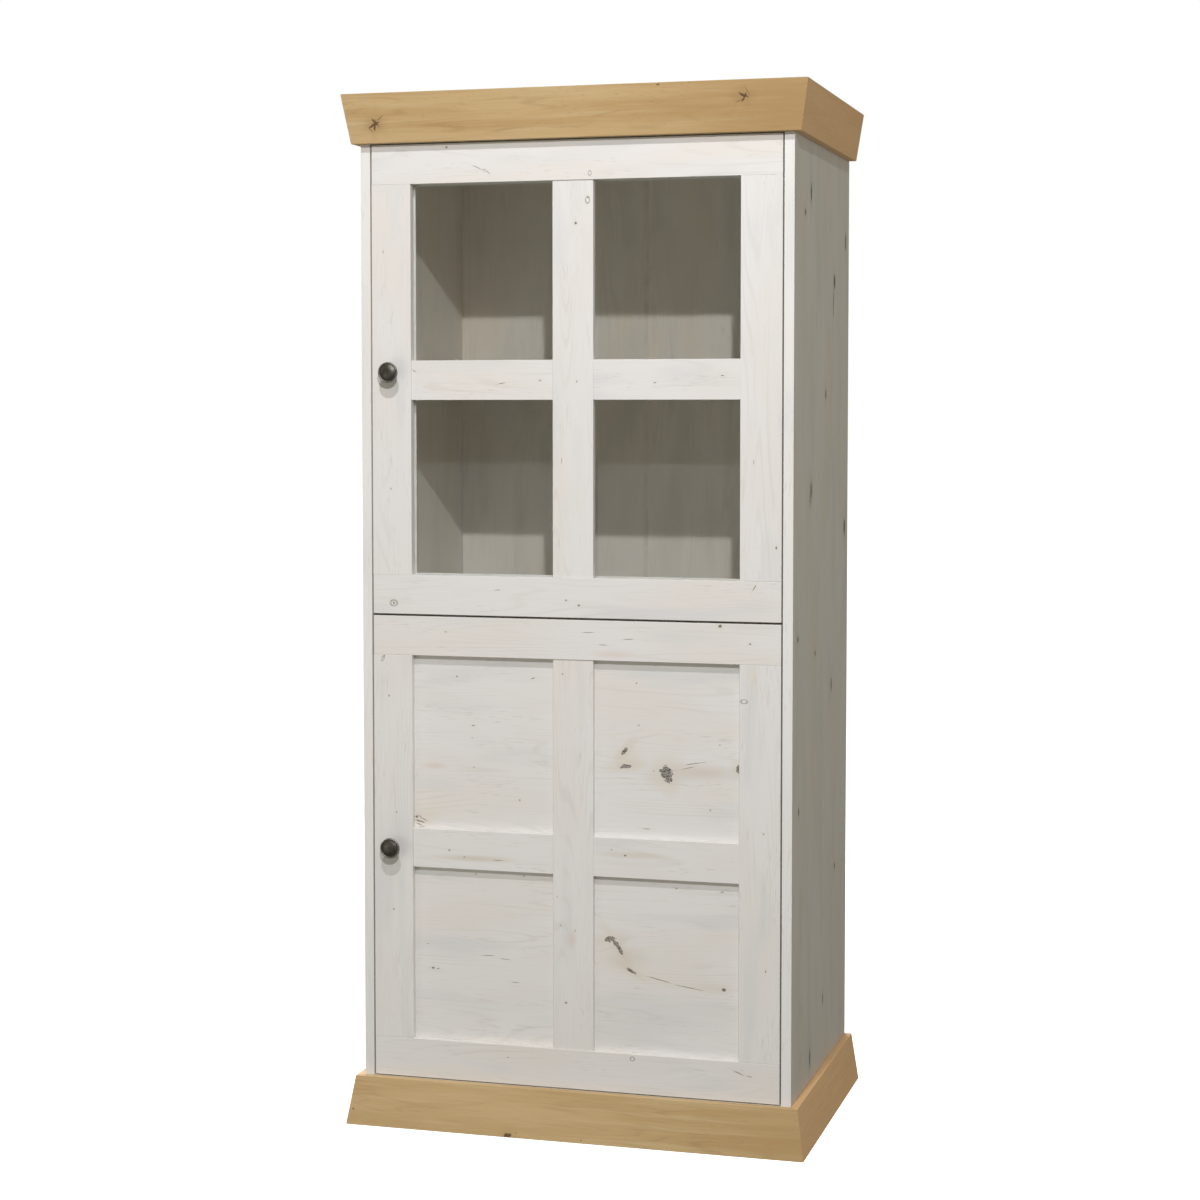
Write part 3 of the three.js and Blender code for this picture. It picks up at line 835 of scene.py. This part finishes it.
low, high = corners("lower_door_panel")
sheet = block(low, high)
middle = (low + high) / 2
for normal in ((1, 0, 0), (0, 0, 1)):
    everything = [*sheet.verts, *sheet.edges, *sheet.faces]
    bmesh.ops.bisect_plane(sheet, geom=everything, plane_co=middle, plane_no=normal)
foils = [
    pine_foil(f"pine_foil_lower_door_field_{field}", "ZX", 33, **marks) for field, marks in FIELDS.items()
]
foils.append(pine_foil("pine_foil_lower_door_panel_back", "ZX", 34))
field_order = list(FIELDS)
panel = piece_of("lower_door_panel_board", sheet, foils)
for face in panel.data.polygons:
    height = "upper" if face.center.z > middle.z else "lower"
    hand = "left" if face.center.x < middle.x else "right"
    face.material_index = field_order.index(f"{height}_{hand}")
    if face.normal.y > 0.5:
        face.material_index = len(FIELDS)
ease(panel, SHEET_ARRIS, 1)
fit(panel, "lower_door", "pine_foil", "lower_door_panel")


# ---------------------------------------------------------------------------------------------------
# Upper door glass. One pane of 4 mm float glass behind all four openings, its edges ground, held in the
# pocket by a frame of soft white plastic bead pressed on from behind.

GLASS_ARRIS = 0.5
GLASS_CLEAR = "#F8F9F8"
BEAD_WIDTH = 17
BEAD_ARRIS = 0.15


def float_glass(name):
    """Clear float glass: the eye gets the cupboard behind it, a weak reflection, and a green tint that
    only shows in the edge. Lamps light what is behind it."""
    material, tree, shader = new_finish(name)
    place = on_board(tree, "XZ")
    film = figure(tree, place, 160, 220, 3.0)
    rough = add(tree, "ShaderNodeMapRange", {"Value": film, "To Min": 0.0, "To Max": 0.03})
    tree.links.new(rough, shader.inputs["Roughness"])
    shader.inputs["Base Color"].default_value = linear(GLASS_CLEAR)
    shader.inputs["Transmission Weight"].default_value = 1.0
    shader.inputs["IOR"].default_value = 1.5
    clear = add(tree, "ShaderNodeBsdfTransparent", {"Color": linear(GLASS_CLEAR)})
    rays = add(tree, "ShaderNodeLightPath", {}).node.outputs
    inside = add(tree, "ShaderNodeMixShader", {0: rays["Is Diffuse Ray"], 1: shader.outputs[0], 2: clear})
    shown = add(tree, "ShaderNodeMixShader", {0: rays["Is Shadow Ray"], 1: inside, 2: clear})
    tree.links.new(shown, tree.nodes["Material Output"].inputs["Surface"])
    return material


def frame_of(profile, low, high):
    """A mitred frame round an upright rectangle from low to high. The profile gives how far each of its
    points lies in from the outer edge, and its depth."""
    mesh = bmesh.new()
    rows = []
    for inset, depth in profile:
        left, right = low.x + inset, high.x - inset
        bottom, top = low.z + inset, high.z - inset
        spots = ((left, bottom), (right, bottom), (right, top), (left, top))
        rows.append([mesh.verts.new((x, depth, z)) for x, z in spots])
    for i, row in enumerate(rows):
        other = rows[(i + 1) % len(rows)]
        for j in range(4):
            k = (j + 1) % 4
            mesh.faces.new((row[j], row[k], other[k], other[j]))
    return mesh


glass = float_glass("glass_clear_float")
low, high = corners("upper_door_glass")
pane = piece_of("upper_door_glass_pane", block(low, high), [glass])
ease(pane, GLASS_ARRIS, 1)
fit(pane, "upper_door", "clear_glass", "upper_door_glass")

low, high = corners("upper_door_glazing_bead")
wide = BEAD_WIDTH * MM
bead_profile = [
    (0.4 * MM, low.y),
    (0.0, low.y + 0.4 * MM),
    (1.0 * MM, high.y - 0.2 * MM),
    (2.0 * MM, high.y),
    (wide - 5.0 * MM, high.y),
    (wide - 1.2 * MM, high.y - 0.5 * MM),
    (wide, low.y + 0.5 * MM),
    (wide - 0.3 * MM, low.y),
]
bead = piece_of("upper_door_glazing_bead_pressed", frame_of(bead_profile, low, high), [pvc])
ease(bead, BEAD_ARRIS, 1, 50)
fit(bead, "upper_door", "white_plastic", "upper_door_glazing_bead")


# ---------------------------------------------------------------------------------------------------
# Knobs. Cast zinc, turned and finished in dark pewter: a foot, a waisted neck and a low dome inside a
# raised rim. Each is held by one screw from the back of the stile.

PEWTER_GREY = "#5E5A54"
PEWTER_BROWN = "#47433E"
PEWTER_RIM_PALE = "#A39E96"
FORWARD = (0, -1, 0)
BACKWARD = (0, 1, 0)
KNOB_RADIUS = 20
KNOB_SIDES = 64
SCREW_SIDES = 24
SCREW_REACH = 24.6
SCREW_SLOT = 2.2
SCREW_ARRIS = 0.15
SLOT_HALF = 0.4
SLOT_DEPTH = 1.2
KNOB_PROFILE = [
    (2.1, 14.0),
    (2.1, 0.0),
    (8.2, 0.0),
    (8.6, 0.5),
    (8.5, 1.6),
    (7.2, 2.6),
    (6.1, 4.2),
    (5.6, 6.5),
    (5.6, 9.0),
    (6.4, 11.8),
    (8.6, 14.2),
    (11.6, 16.4),
    (15.2, 18.2),
    (18.1, 19.4),
    (19.5, 20.3),
    (20.0, 21.5),
    (19.8, 22.8),
    (19.2, 23.7),
    (18.3, 24.1),
    (17.5, 23.9),
    (16.8, 23.2),
    (16.2, 23.0),
    (15.4, 23.3),
    (13.7, 24.3),
    (10.9, 25.5),
    (7.6, 26.4),
    (3.7, 26.87),
    (0.0, 27.0),
]
SCREW_PROFILE = [
    (0.0, -23.4),
    (1.0, -23.4),
    (1.2, -24.4),
    (2.6, -24.35),
    (3.5, -23.8),
    (4.0, -22.9),
    (4.0, -22.1),
    (1.9, -22.1),
    (1.9, 13.5),
    (0.0, 13.5),
]


def turned(profile, foot, out, sides):
    """A piece turned on a lathe about the line that leaves its foot in the direction out. The profile
    gives radius and height above the foot, in millimetres."""
    mesh = bmesh.new()
    out = Vector(out)
    first = out.orthogonal().normalized()
    second = out.cross(first)
    rows = []
    for radius, height in profile:
        centre = Vector(foot) + out * height * MM
        if radius == 0:
            rows.append([mesh.verts.new(centre)])
            continue
        row = []
        for i in range(sides):
            turn = 2 * math.pi * i / sides
            arm = first * math.cos(turn) + second * math.sin(turn)
            row.append(mesh.verts.new(centre + arm * radius * MM))
        rows.append(row)
    for near, far in zip(rows, rows[1:]):
        for i in range(sides):
            j = (i + 1) % sides
            corner = [near[i % len(near)], near[j % len(near)], far[j % len(far)], far[i % len(far)]]
            mesh.faces.new(list(dict.fromkeys(corner)))
    return mesh


def cross_slot(spot, out, half):
    """The two blades of a cross recess, sunk SLOT_DEPTH in a screw head at its outermost spot."""
    out = Vector(out)
    first = out.orthogonal().normalized()
    second = out.cross(first)
    blades = []
    for long, short in ((first, second), (second, first)):
        reach = long * half * MM + short * SLOT_HALF * MM + out * SLOT_DEPTH * MM
        reach = Vector(abs(share) for share in reach)
        blades.append(block(spot - reach, spot + reach))
    return blades


def dark_pewter(name, x, z):
    """Cast zinc blackened: the eye gets a soft dark metal, browner in the low parts and paler along the
    rim. Casting grain is drawn at 1.5 mm."""
    material, tree, shader = new_finish(name)
    place = on_board(tree, "XZ")
    grain = figure(tree, place, 1.5, 1.5, 4.0)
    cloud = figure(tree, place, 9, 9, 3.0)
    colour = stained(tree, linear(PEWTER_GREY), linear(PEWTER_BROWN), cloud, 0.35, 0.7)
    out = nearest_mark(tree, place, [(x / MM, z / MM, KNOB_RADIUS, KNOB_RADIUS, 0)])
    # A pale ring is laid along the rim.
    rim = patches(tree, place, 1.5, 1.5, 0.3, 0.6, 4.0)
    rim = add(
        tree,
        "ShaderNodeMapRange",
        {"Value": out, "From Min": 0.84, "From Max": 0.91, "To Max": rim},
        interpolation_type="SMOOTHSTEP",
    )
    colour = laid(tree, colour, linear(PEWTER_RIM_PALE), rim, 0.8)
    tree.links.new(colour, shader.inputs["Base Color"])
    shader.inputs["Metallic"].default_value = 0.85
    rough = add(tree, "ShaderNodeMapRange", {"Value": cloud, "To Min": 0.38, "To Max": 0.52})
    tree.links.new(rough, shader.inputs["Roughness"])
    cast = add(tree, "ShaderNodeBump", {"Height": grain, "Strength": 0.3, "Distance": 0.1 * MM})
    tree.links.new(cast, shader.inputs["Normal"])
    return material


for door in ("upper_door", "lower_door"):
    low, high = corners(f"{door}_knob")
    x, z = (low.x + high.x) / 2, (low.z + high.z) / 2
    foot = (x, high.y, z)
    pewter = dark_pewter(f"pewter_{door}_knob", x, z)
    knob = piece_of(f"{door}_knob_turned", turned(KNOB_PROFILE, foot, FORWARD, KNOB_SIDES), [pewter])
    fit(knob, door, "pewter", f"{door}_knob")
    screw = piece_of(f"{door}_knob_screw_panhead", turned(SCREW_PROFILE, foot, FORWARD, SCREW_SIDES), [steel])
    cut(screw, cross_slot(Vector((x, high.y + SCREW_REACH * MM, z)), BACKWARD, SCREW_SLOT))
    ease(screw, SCREW_ARRIS, 1, 50)
    fit(screw, door, "steel", f"{door}_knob_screw")


# ---------------------------------------------------------------------------------------------------
# Hinges. Concealed cup hinges for inset doors: a pressed steel cup with a screwed flange in the back of
# the stile, and a cranked arm clipped on a plate that is screwed to the side panel.

CUP_SIDES = 48
CUP_ARRIS = 0.2
CUP_PROFILE = [
    (0.0, -11.8),
    (15.2, -11.8),
    (16.0, -12.4),
    (16.0, -21.6),
    (16.6, -23.3),
    (19.6, -23.3),
    (20.0, -23.0),
    (20.0, -22.1),
    (17.3, -22.1),
    (17.3, -10.9),
    (16.9, -10.5),
    (0.0, -10.5),
]
WING_HALF = 27
WING_WIDTH = 5.5
WING_SCREW = 23.2
WING_ROOT = 18.5
WING_REST = 0.1
WING_FACE = 1.2
WING_ARRIS = 0.45
ARM_HALF = 5.5
ARM_RISE = 15
ARM_ARRIS = 0.7
ARM_SCREWS = {"depth": 76, "side": 52}
ARM_OUTLINE = [
    (3.2, 40),
    (3.2, 86),
    (9, 88),
    (14, 83),
    (ARM_RISE, 70),
    (ARM_RISE, 46),
    (22, 42.5),
    (31, 38),
    (35.5, 33),
    (35.9, 26),
    (33.5, 25.6),
    (32.0, 30),
    (26, 33.5),
    (16, 36.0),
    (9, 38.5),
]
PLATE_THICK = 3.2
PLATE_MIDDLE = 64
PLATE_SCREW = 16
PLATE_ARRIS = 0.6
PLATE_SIDE = [(37, 8), (55, 8), (59, 22), (69, 22), (73, 8), (90, 8)]
PLATE_OUTLINE = [(back, -rise) for back, rise in PLATE_SIDE] + PLATE_SIDE[::-1]
HEAD_SIDES = 20
HEAD_RISE = 1.5
HEAD_SLOT = 2.0
HEAD_PROFILE = [
    (0.0, HEAD_RISE),
    (1.6, 1.4),
    (2.8, 1.0),
    (3.5, 0.3),
    (3.5, -0.4),
    (0.0, -0.4),
]


def cross_head(name, spot, out, body):
    """A domed screw head with a cross recess, seated at a spot and facing out."""
    spot = Vector(spot)
    head = piece_of(name, turned(HEAD_PROFILE, spot, out, HEAD_SIDES), [steel])
    cut(head, cross_slot(spot + Vector(out) * HEAD_RISE * MM, out, HEAD_SLOT))
    fit(head, body, "steel")


for door in ("upper_door", "lower_door"):
    for level in ("lower", "upper"):
        low, high = corners(f"{door}_hinge_cup_{level}")
        x, z = (low.x + high.x) / 2, (low.z + high.z) / 2
        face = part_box(f"{door}_right_stile")[0].y
        door_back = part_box(f"{door}_right_stile")[1].y
        foot = (x, face, z)
        cup_mesh = turned(CUP_PROFILE, foot, FORWARD, CUP_SIDES)
        cup = piece_of(f"{door}_hinge_cup_{level}_pressed", cup_mesh, [steel])
        ease(cup, CUP_ARRIS, 1, 50)
        fit(cup, door, "steel", f"{door}_hinge_cup_{level}")
        for side, way in (("below", -1), ("above", 1)):
            root, tip = sorted((z + way * WING_ROOT * MM, z + way * WING_HALF * MM))
            wing_mesh = block(
                (x - WING_WIDTH * MM, door_back + WING_REST * MM, root),
                (x + WING_WIDTH * MM, door_back + WING_FACE * MM, tip),
            )
            wing = piece_of(f"{door}_hinge_wing_{level}_{side}", wing_mesh, [steel])
            ease(wing, WING_ARRIS, 2)
            fit(wing, door, "steel")
            screw_spot = (x, door_back + WING_FACE * MM, z + way * WING_SCREW * MM)
            cross_head(f"{door}_hinge_wing_screw_{level}_{side}", screw_spot, BACKWARD, door)

        node = f"{door}_hinge_arm_{level}"
        arm_low, arm_high = corners(node)
        inside = arm_high.x
        centre_z = (arm_low.z + arm_high.z) / 2
        arm_outline = [(inside - off * MM, face + back * MM) for off, back in ARM_OUTLINE]
        arm_mesh = pushed(arm_outline, "Z", centre_z - ARM_HALF * MM, centre_z + ARM_HALF * MM)
        arm = piece_of(f"{node}_cranked", arm_mesh, [steel])
        ease(arm, ARM_ARRIS, 2, 25)
        fit(arm, "root", "steel", node)
        plate_outline = [(face + back * MM, centre_z + rise * MM) for back, rise in PLATE_OUTLINE]
        plate_face = inside - PLATE_THICK * MM
        plate = piece_of(f"{node}_plate", pushed(plate_outline, "X", plate_face, inside), [steel])
        ease(plate, PLATE_ARRIS, 2)
        fit(plate, "root", "steel")
        for side, way in (("below", -1), ("above", 1)):
            screw_spot = (plate_face, face + PLATE_MIDDLE * MM, centre_z + way * PLATE_SCREW * MM)
            cross_head(f"{node}_plate_screw_{side}", screw_spot, (-1, 0, 0), "root")
        for use, back in ARM_SCREWS.items():
            screw_spot = (inside - ARM_RISE * MM, face + back * MM, centre_z)
            cross_head(f"{node}_{use}_screw", screw_spot, (-1, 0, 0), "root")


# ---------------------------------------------------------------------------------------------------
# Small fixings. Nails hold the back sheets to the rear edges of the bottom and middle panels, white caps
# cover the screws of the top panel, and a soft dot behind each door quiets it against the middle panel.

NAIL_SPOTS = (-355, -245, -135, -25, 25, 135, 245, 355)
NAIL_SIDES = 16
CAP_SIDES = 28
DOT_SIDES = 24
CAP_ROWS = {"front": -150, "middle": 15, "rear": 180}
CAP_INSET = 30
DOT_INSET = 14
DOT_RISE = 3.6
NAIL_PROFILE = [(0.0, 0.9), (1.4, 0.8), (2.3, 0.45), (2.4, 0.0), (1.2, -0.3), (0.0, -0.3)]
CAP_PROFILE = [(0.0, 1.6), (3.6, 1.4), (5.6, 0.9), (6.2, 0.3), (6.2, -0.2), (0.0, -0.2)]
DOT_PROFILE = [(0.0, 1.6), (2.2, 1.5), (3.2, 1.0), (3.5, 0.3), (3.5, -0.2), (0.0, -0.2)]

for node in ("bottom_panel", "middle_panel"):
    low, high = corners(node)
    for i, x in enumerate(NAIL_SPOTS):
        spot = (x * MM, back_high.y, (low.z + high.z) / 2)
        nail = piece_of(f"back_nail_{node}_{i}", turned(NAIL_PROFILE, spot, BACKWARD, NAIL_SIDES), [steel])
        fit(nail, "root", "steel")

low, high = corners("top_panel")
for side, way in (("left", -1), ("right", 1)):
    panel_low, panel_high = corners(f"{side}_side_panel")
    for row, y in CAP_ROWS.items():
        spot = ((panel_low.x + panel_high.x) / 2 - way * CAP_INSET * MM, y * MM, high.z)
        cap = piece_of(f"top_cap_{side}_{row}", turned(CAP_PROFILE, spot, (0, 0, 1), CAP_SIDES), [pvc])
        fit(cap, "root", "white_plastic")

low, high = corners("middle_panel")
for door, z in (("upper_door", high.z - DOT_RISE * MM), ("lower_door", low.z + DOT_RISE * MM)):
    stile_low, stile_high = corners(f"{door}_left_stile")
    spot = (stile_low.x + DOT_INSET * MM, stile_high.y, z)
    dot = piece_of(f"{door}_dot", turned(DOT_PROFILE, spot, BACKWARD, DOT_SIDES), [pvc])
    fit(dot, door, "white_plastic")


# ---------------------------------------------------------------------------------------------------
# Cornice. Three 14.5 mm boards in oak foil that lean outwards as they rise, mitred at the front corners
# and screwed from inside to bare spruce battens on the top panel.

OAK_HONEY = "#C9AC7C"
OAK_DEEP = "#BD9C6A"
OAK_PALE = "#CDB488"
OAK_PORE = "#8B6B3F"
OAK_KNOT = "#5C4023"
OAK_ARRIS = 0.8


def oak_foil(name, grain, seed, knots=(), pins=(), tints=()):
    """Oak foil: printed and embossed like the pine. The eye gets honey-coloured wood with long darker
    flames, short brown pores lying along the grain, drawn at 1.6 mm, and a few starred knots."""
    material, tree, shader = new_finish(name)
    place = on_board(tree, grain)
    board, grown = sawn_from(tree, place, (83.0 * seed, 29.0 * seed, 407.0 * seed), 60, 260, 14.0)
    deep = figure(tree, grown, 30, 420, 3.0)
    colour = stained(tree, linear(OAK_HONEY), linear(OAK_DEEP), deep, 0.36, 0.66)
    pale = figure(tree, grown, 9, 240, 2.0, 50)
    colour = stained(tree, colour, linear(OAK_PALE), pale, 0.5, 0.72, 0.7)
    waves = year_rings(tree, grown, 42, 520, 70.0)
    flame = patches(tree, board, 26, 170, 0.4, 0.66, 1.0, 9, 0.2)
    colour = stained(tree, colour, linear(OAK_PORE), waves, 0.45, 1.0, flame)
    fibre = figure(tree, grown, 2.0, 60, 3.0)
    colour = stained(tree, colour, linear(OAK_PORE), fibre, 0.46, 0.74, 0.13)
    bunches = patches(tree, board, 22, 90, 0.42, 0.62, 1.0, 23)
    dark = patches(tree, grown, 1.6, 13, 0.6, 0.72, 1.0, 17, bunches)
    colour = laid(tree, colour, linear(OAK_PORE), dark, 0.24)
    # Tints lay patches of colour: halos round knots, and on the cornice and plinth boards also painted light
    # and painted shade.
    for *tint, hue, strength in tints:
        tinted = frayed_marks(tree, place, [(*tint, 0)], fibre, 0.9, 1.7, 0.3)[1]
        colour = laid(tree, colour, linear(hue), tinted, strength)
    worn = figure(tree, place, 4.5, 4.5, 3.0, 3)
    if pins:
        pin = frayed_marks(tree, place, pins, worn, 0.9, 1.7, 0.8)[1]
        colour = laid(tree, colour, linear(OAK_KNOT), pin, 0.85)
        dark = add(tree, "ShaderNodeMath", {0: dark, 1: pin}, operation="MAXIMUM")
    if knots:
        away, heart = frayed_marks(tree, place, knots, worn, 1.3, 1.6, 1.2)
        colour = stained(tree, colour, linear(OAK_DEEP), away, 4.0, 1.0, 0.35)
        colour = laid(tree, colour, linear(OAK_KNOT), heart, 0.9)
        dark = add(tree, "ShaderNodeMath", {0: dark, 1: heart}, operation="MAXIMUM")
    embossed_foil(tree, shader, colour, fibre, dark, -0.4, 0.18)
    return material


def leaning(side, low, high, bottom_out, top_out, thick, gap):
    """A leaning board of the cornice or the plinth. The overhangs are from the cabinet's own sides, and
    the front corners are mitred."""
    panel_low, panel_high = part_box("left_side_panel")
    front, rear = panel_low.y, panel_high.y
    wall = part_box("right_side_panel")[1].x
    mesh = block((-1, -1, -1), (1, 1, 1))
    for vert in mesh.verts:
        outer = vert.co.y < 0
        top = vert.co.z > 0
        end = vert.co.x
        out = (top_out if top else bottom_out) - (0 if outer else thick)
        level = high if top else low
        if side == 0:
            vert.co = (end * (wall + out - gap), front - out, level)
        else:
            at = front - out if end < 0 else rear
            vert.co = (side * (wall + out), at, level)
    return mesh


SLANT_BOARD = 14.5
MITRE_GAP = 0.2
side_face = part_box("right_side_panel")[1].x
carcass_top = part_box("right_side_panel")[1].z
plinth_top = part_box("plinth_front")[1].z
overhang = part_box("cornice_right")[1].x - side_face
# Painted light: the side boards of the cornice and plinth are tinted lighter and warmer all over.
SIDE_PAINTED_LIGHT = {"tints": [(0, 0, 40000, 40000, "#F2C18C", 0.62)]}
CORNICE_MARKS_AND_PAINTED_SHADE = {
    "front": {
        "knots": [
            (1941, -389, 3.2, 15, 28),
            (1944, -386, 2.8, 13, -48),
            (1939, -388, 3.0, 14, 82),
            (1971, 334, 3.0, 12, -25),
            (1969, 336, 2.6, 13, 62),
        ],
        "pins": [
            (1952, -378, 1.2, 9, 35),
            (1930, -396, 1.2, 7, -40),
            (1978, 342, 1.0, 12, -60),
            (1962, 327, 1.0, 9, 20),
            (1996, 173, 1.8, 4, 0),
        ],
        "tints": [
            # Painted shade: the right end of the front board is darkened.
            (1955, 430, 140, 330, "#A98654", 0.75),
            (1941, -387, 20, 26, "#8D6C40", 0.55),
            (1970, 334, 18, 26, "#8D6C40", 0.6),
        ],
    },
}
PLINTH_MARKS_AND_PAINTED_LIGHT = {
    "front": {
        "knots": [(4, -123, 6, 9, 0)],
        "pins": [(30, -441, 1.8, 2.4, 0), (10, -106, 1.4, 1.6, 0), (6, 24, 1.6, 1.8, 0)],
        # Painted light and shade: the front board is lighter at the left and middle and darker at its right
        # end.
        "tints": [(45, -160, 140, 480, "#D6B98A", 0.45), (45, 480, 140, 200, "#B39362", 0.45)],
    },
}


def slanted(ring, name, side, seed, low, high, bottom_out, top_out, **marks):
    """One board of the cornice or the plinth in its oak foil."""
    mesh = leaning(side, low, high, bottom_out, top_out, SLANT_BOARD * MM, MITRE_GAP * MM)
    oak = oak_foil(f"oak_foil_{ring}_{name}", "ZY" if side else "ZX", seed, **marks)
    board = piece_of(f"{ring}_{name}_board", mesh, [oak])
    ease(board, OAK_ARRIS, 2, 30)
    fit(board, "root", "oak_foil", f"{ring}_{name}")


for name, side, seed in (("front", 0, 41), ("left", -1, 42), ("right", 1, 43)):
    marks = CORNICE_MARKS_AND_PAINTED_SHADE.get(name, SIDE_PAINTED_LIGHT)
    slanted(
        "cornice", name, side, seed, carcass_top, cad_box[1].z, SLANT_BOARD * MM, overhang, **marks
    )


# ---------------------------------------------------------------------------------------------------
# Plinth. Three boards like the cornice's, leaning outwards as they drop to the floor.

for name, side, seed in (("front", 0, 44), ("left", -1, 45), ("right", 1, 46)):
    marks = PLINTH_MARKS_AND_PAINTED_LIGHT.get(name, SIDE_PAINTED_LIGHT)
    slanted("plinth", name, side, seed, 0.0, plinth_top, overhang, SLANT_BOARD * MM, **marks)


# ---------------------------------------------------------------------------------------------------
# Battens and plinth rails. Sawn spruce, not seen from the front: the battens carry the cornice on the
# top panel, and the rails stiffen the carcass under the bottom panel.

SPRUCE_PALE = "#D9BD8C"
SPRUCE_RING = "#B58A55"
SPRUCE_FIBRE = "#A67F4F"


def sawn_spruce(name, grain, seed):
    """Bare sawn spruce: the eye gets pale yellow wood with brown year rings and a fuzzy sawn face."""
    material, tree, shader = new_finish(name)
    place = on_board(tree, grain)
    shift = (53.0 * seed, 17.0 * seed, 307.0 * seed)
    board = add(tree, "ShaderNodeVectorMath", {0: place, 1: shift}, operation="ADD")
    waves = year_rings(tree, board, 60, 800, 150.0)
    colour = stained(tree, linear(SPRUCE_PALE), linear(SPRUCE_RING), waves, 0.1, 1.0, 0.6)
    fibre = figure(tree, board, 1.6, 40, 3.0)
    colour = stained(tree, colour, linear(SPRUCE_FIBRE), fibre, 0.5, 0.75, 0.4)
    tree.links.new(colour, shader.inputs["Base Color"])
    rough = add(tree, "ShaderNodeMapRange", {"Value": fibre, "To Min": 0.6, "To Max": 0.8})
    tree.links.new(rough, shader.inputs["Roughness"])
    sawn = add(tree, "ShaderNodeBump", {"Height": fibre, "Strength": 0.6, "Distance": 0.3 * MM})
    tree.links.new(sawn, shader.inputs["Normal"])
    return material


for node, grain, seed in (
    ("cornice_batten_front", "YX", 51),
    ("cornice_batten_rear", "YX", 52),
    ("cornice_batten_left", "XY", 53),
    ("cornice_batten_right", "XY", 54),
    ("plinth_rail_front", "ZX", 55),
    ("plinth_rail_rear", "ZX", 56),
):
    spruce = sawn_spruce(f"spruce_{node}", grain, seed)
    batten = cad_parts[node]
    batten.data.materials.clear()
    batten.data.materials.append(spruce)


# ---------------------------------------------------------------------------------------------------
# Studio: a plain pale floor, a lamp beside and above the camera, one above the front of the cabinet, soft
# ones at the sides, behind and low at the left, and a weak warm light from all round.

FLOOR_HALF = 60
FLOOR_PAPER = "#F2F2F2"
FLOOR_GLOW = 0.92
DAYLIGHT = (1.0, 0.99, 1.02)
WARM_LIGHT = (1.0, 0.97, 0.9)
SOFT = 1.6
LAMPS = {
    "key": ((1.44, -4.61, 3.70), (0, -0.27, 1.0), 113, 0.1, DAYLIGHT),
    "top": ((0.32, -2.84, 4.7), (0, -0.27, 1.2), 80, 0.15, DAYLIGHT),
    "right": ((3.8, -0.15, 2.2), (0.42, 0.0, 1.0), 17, SOFT, WARM_LIGHT),
    "low": ((-1.8, -2.2, 0.35), (-0.1, -0.27, 0.5), 8, SOFT, WARM_LIGHT),
    "left": ((-3.8, 0.2, 2.4), (-0.42, 0.0, 1.0), 60, SOFT, WARM_LIGHT),
    "rear": ((-1.4, 4.4, 3.0), (0.0, 0.28, 1.0), 110, SOFT, WARM_LIGHT),
}
FILL = 0.25
FILL_COLOUR = (1.0, 0.955, 0.81)

floor_mesh = bmesh.new()
bmesh.ops.create_grid(floor_mesh, x_segments=1, y_segments=1, size=FLOOR_HALF)
paper = bpy.data.materials.new("floor_white_paper")
paper.use_nodes = True
paper_shader = paper.node_tree.nodes["Principled BSDF"]
paper_shader.inputs["Base Color"].default_value = linear(FLOOR_PAPER)
paper_shader.inputs["Roughness"].default_value = 0.9
paper_shader.inputs["Emission Color"].default_value = (1, 1, 1, 1)
paper_shader.inputs["Emission Strength"].default_value = FLOOR_GLOW
floor = piece_of("floor", floor_mesh, [paper])
floor.visible_diffuse = False
floor.visible_glossy = False

for name, (place, target, watts, size, colour) in LAMPS.items():
    light = bpy.data.lights.new(f"{name}_lamp", "AREA")
    light.shape = "DISK"
    light.size = size
    light.energy = watts
    light.color = colour
    holder = bpy.data.objects.new(f"{name}_lamp", light)
    holder.location = place
    holder.rotation_mode = "QUATERNION"
    holder.rotation_quaternion = (Vector(target) - Vector(place)).to_track_quat("-Z", "Y")
    bpy.context.scene.collection.objects.link(holder)

world = bpy.data.worlds.new("studio")
bpy.context.scene.world = world
world.use_nodes = True
sky = world.node_tree
surround = sky.nodes["Background"]
paths = add(sky, "ShaderNodeLightPath", {}).node.outputs
bounces = add(sky, "ShaderNodeMath", {0: paths["Diffuse Depth"], 1: paths["Glossy Depth"]}, operation="ADD")
straight = add(sky, "ShaderNodeMath", {0: bounces, 1: 0.5}, operation="LESS_THAN")
fill = tuple(FILL * share for share in FILL_COLOUR) + (1.0,)
seen = laid(sky, fill, (1.0, 1.0, 1.0, 1.0), straight, 1.0)
sky.links.new(seen, surround.inputs["Color"])

# Camera: a long lens at two thirds of the cabinet's height, to the right of it and looking a little down.
CAMERA_PLACE = Vector((1.3113, -4.7093, 1.3956))
CAMERA_YAW = 0.276
CAMERA_PITCH = 0.053
CAMERA_LENS = 73.4
CAMERA_SHIFT = -0.05
CAMERA_SENSOR = 36

camera_data = bpy.data.cameras.new("camera")
camera_data.lens = CAMERA_LENS
camera_data.sensor_width = CAMERA_SENSOR
camera_data.shift_y = CAMERA_SHIFT
camera = bpy.data.objects.new("camera", camera_data)
camera.location = CAMERA_PLACE
aim = Vector(
    (
        -math.sin(CAMERA_YAW) * math.cos(CAMERA_PITCH),
        math.cos(CAMERA_YAW) * math.cos(CAMERA_PITCH),
        -math.sin(CAMERA_PITCH),
    )
)
camera.rotation_mode = "QUATERNION"
camera.rotation_quaternion = aim.to_track_quat("-Z", "Y")
bpy.context.scene.collection.objects.link(camera)
bpy.context.scene.camera = camera
bpy.context.scene.view_settings.view_transform = "Standard"
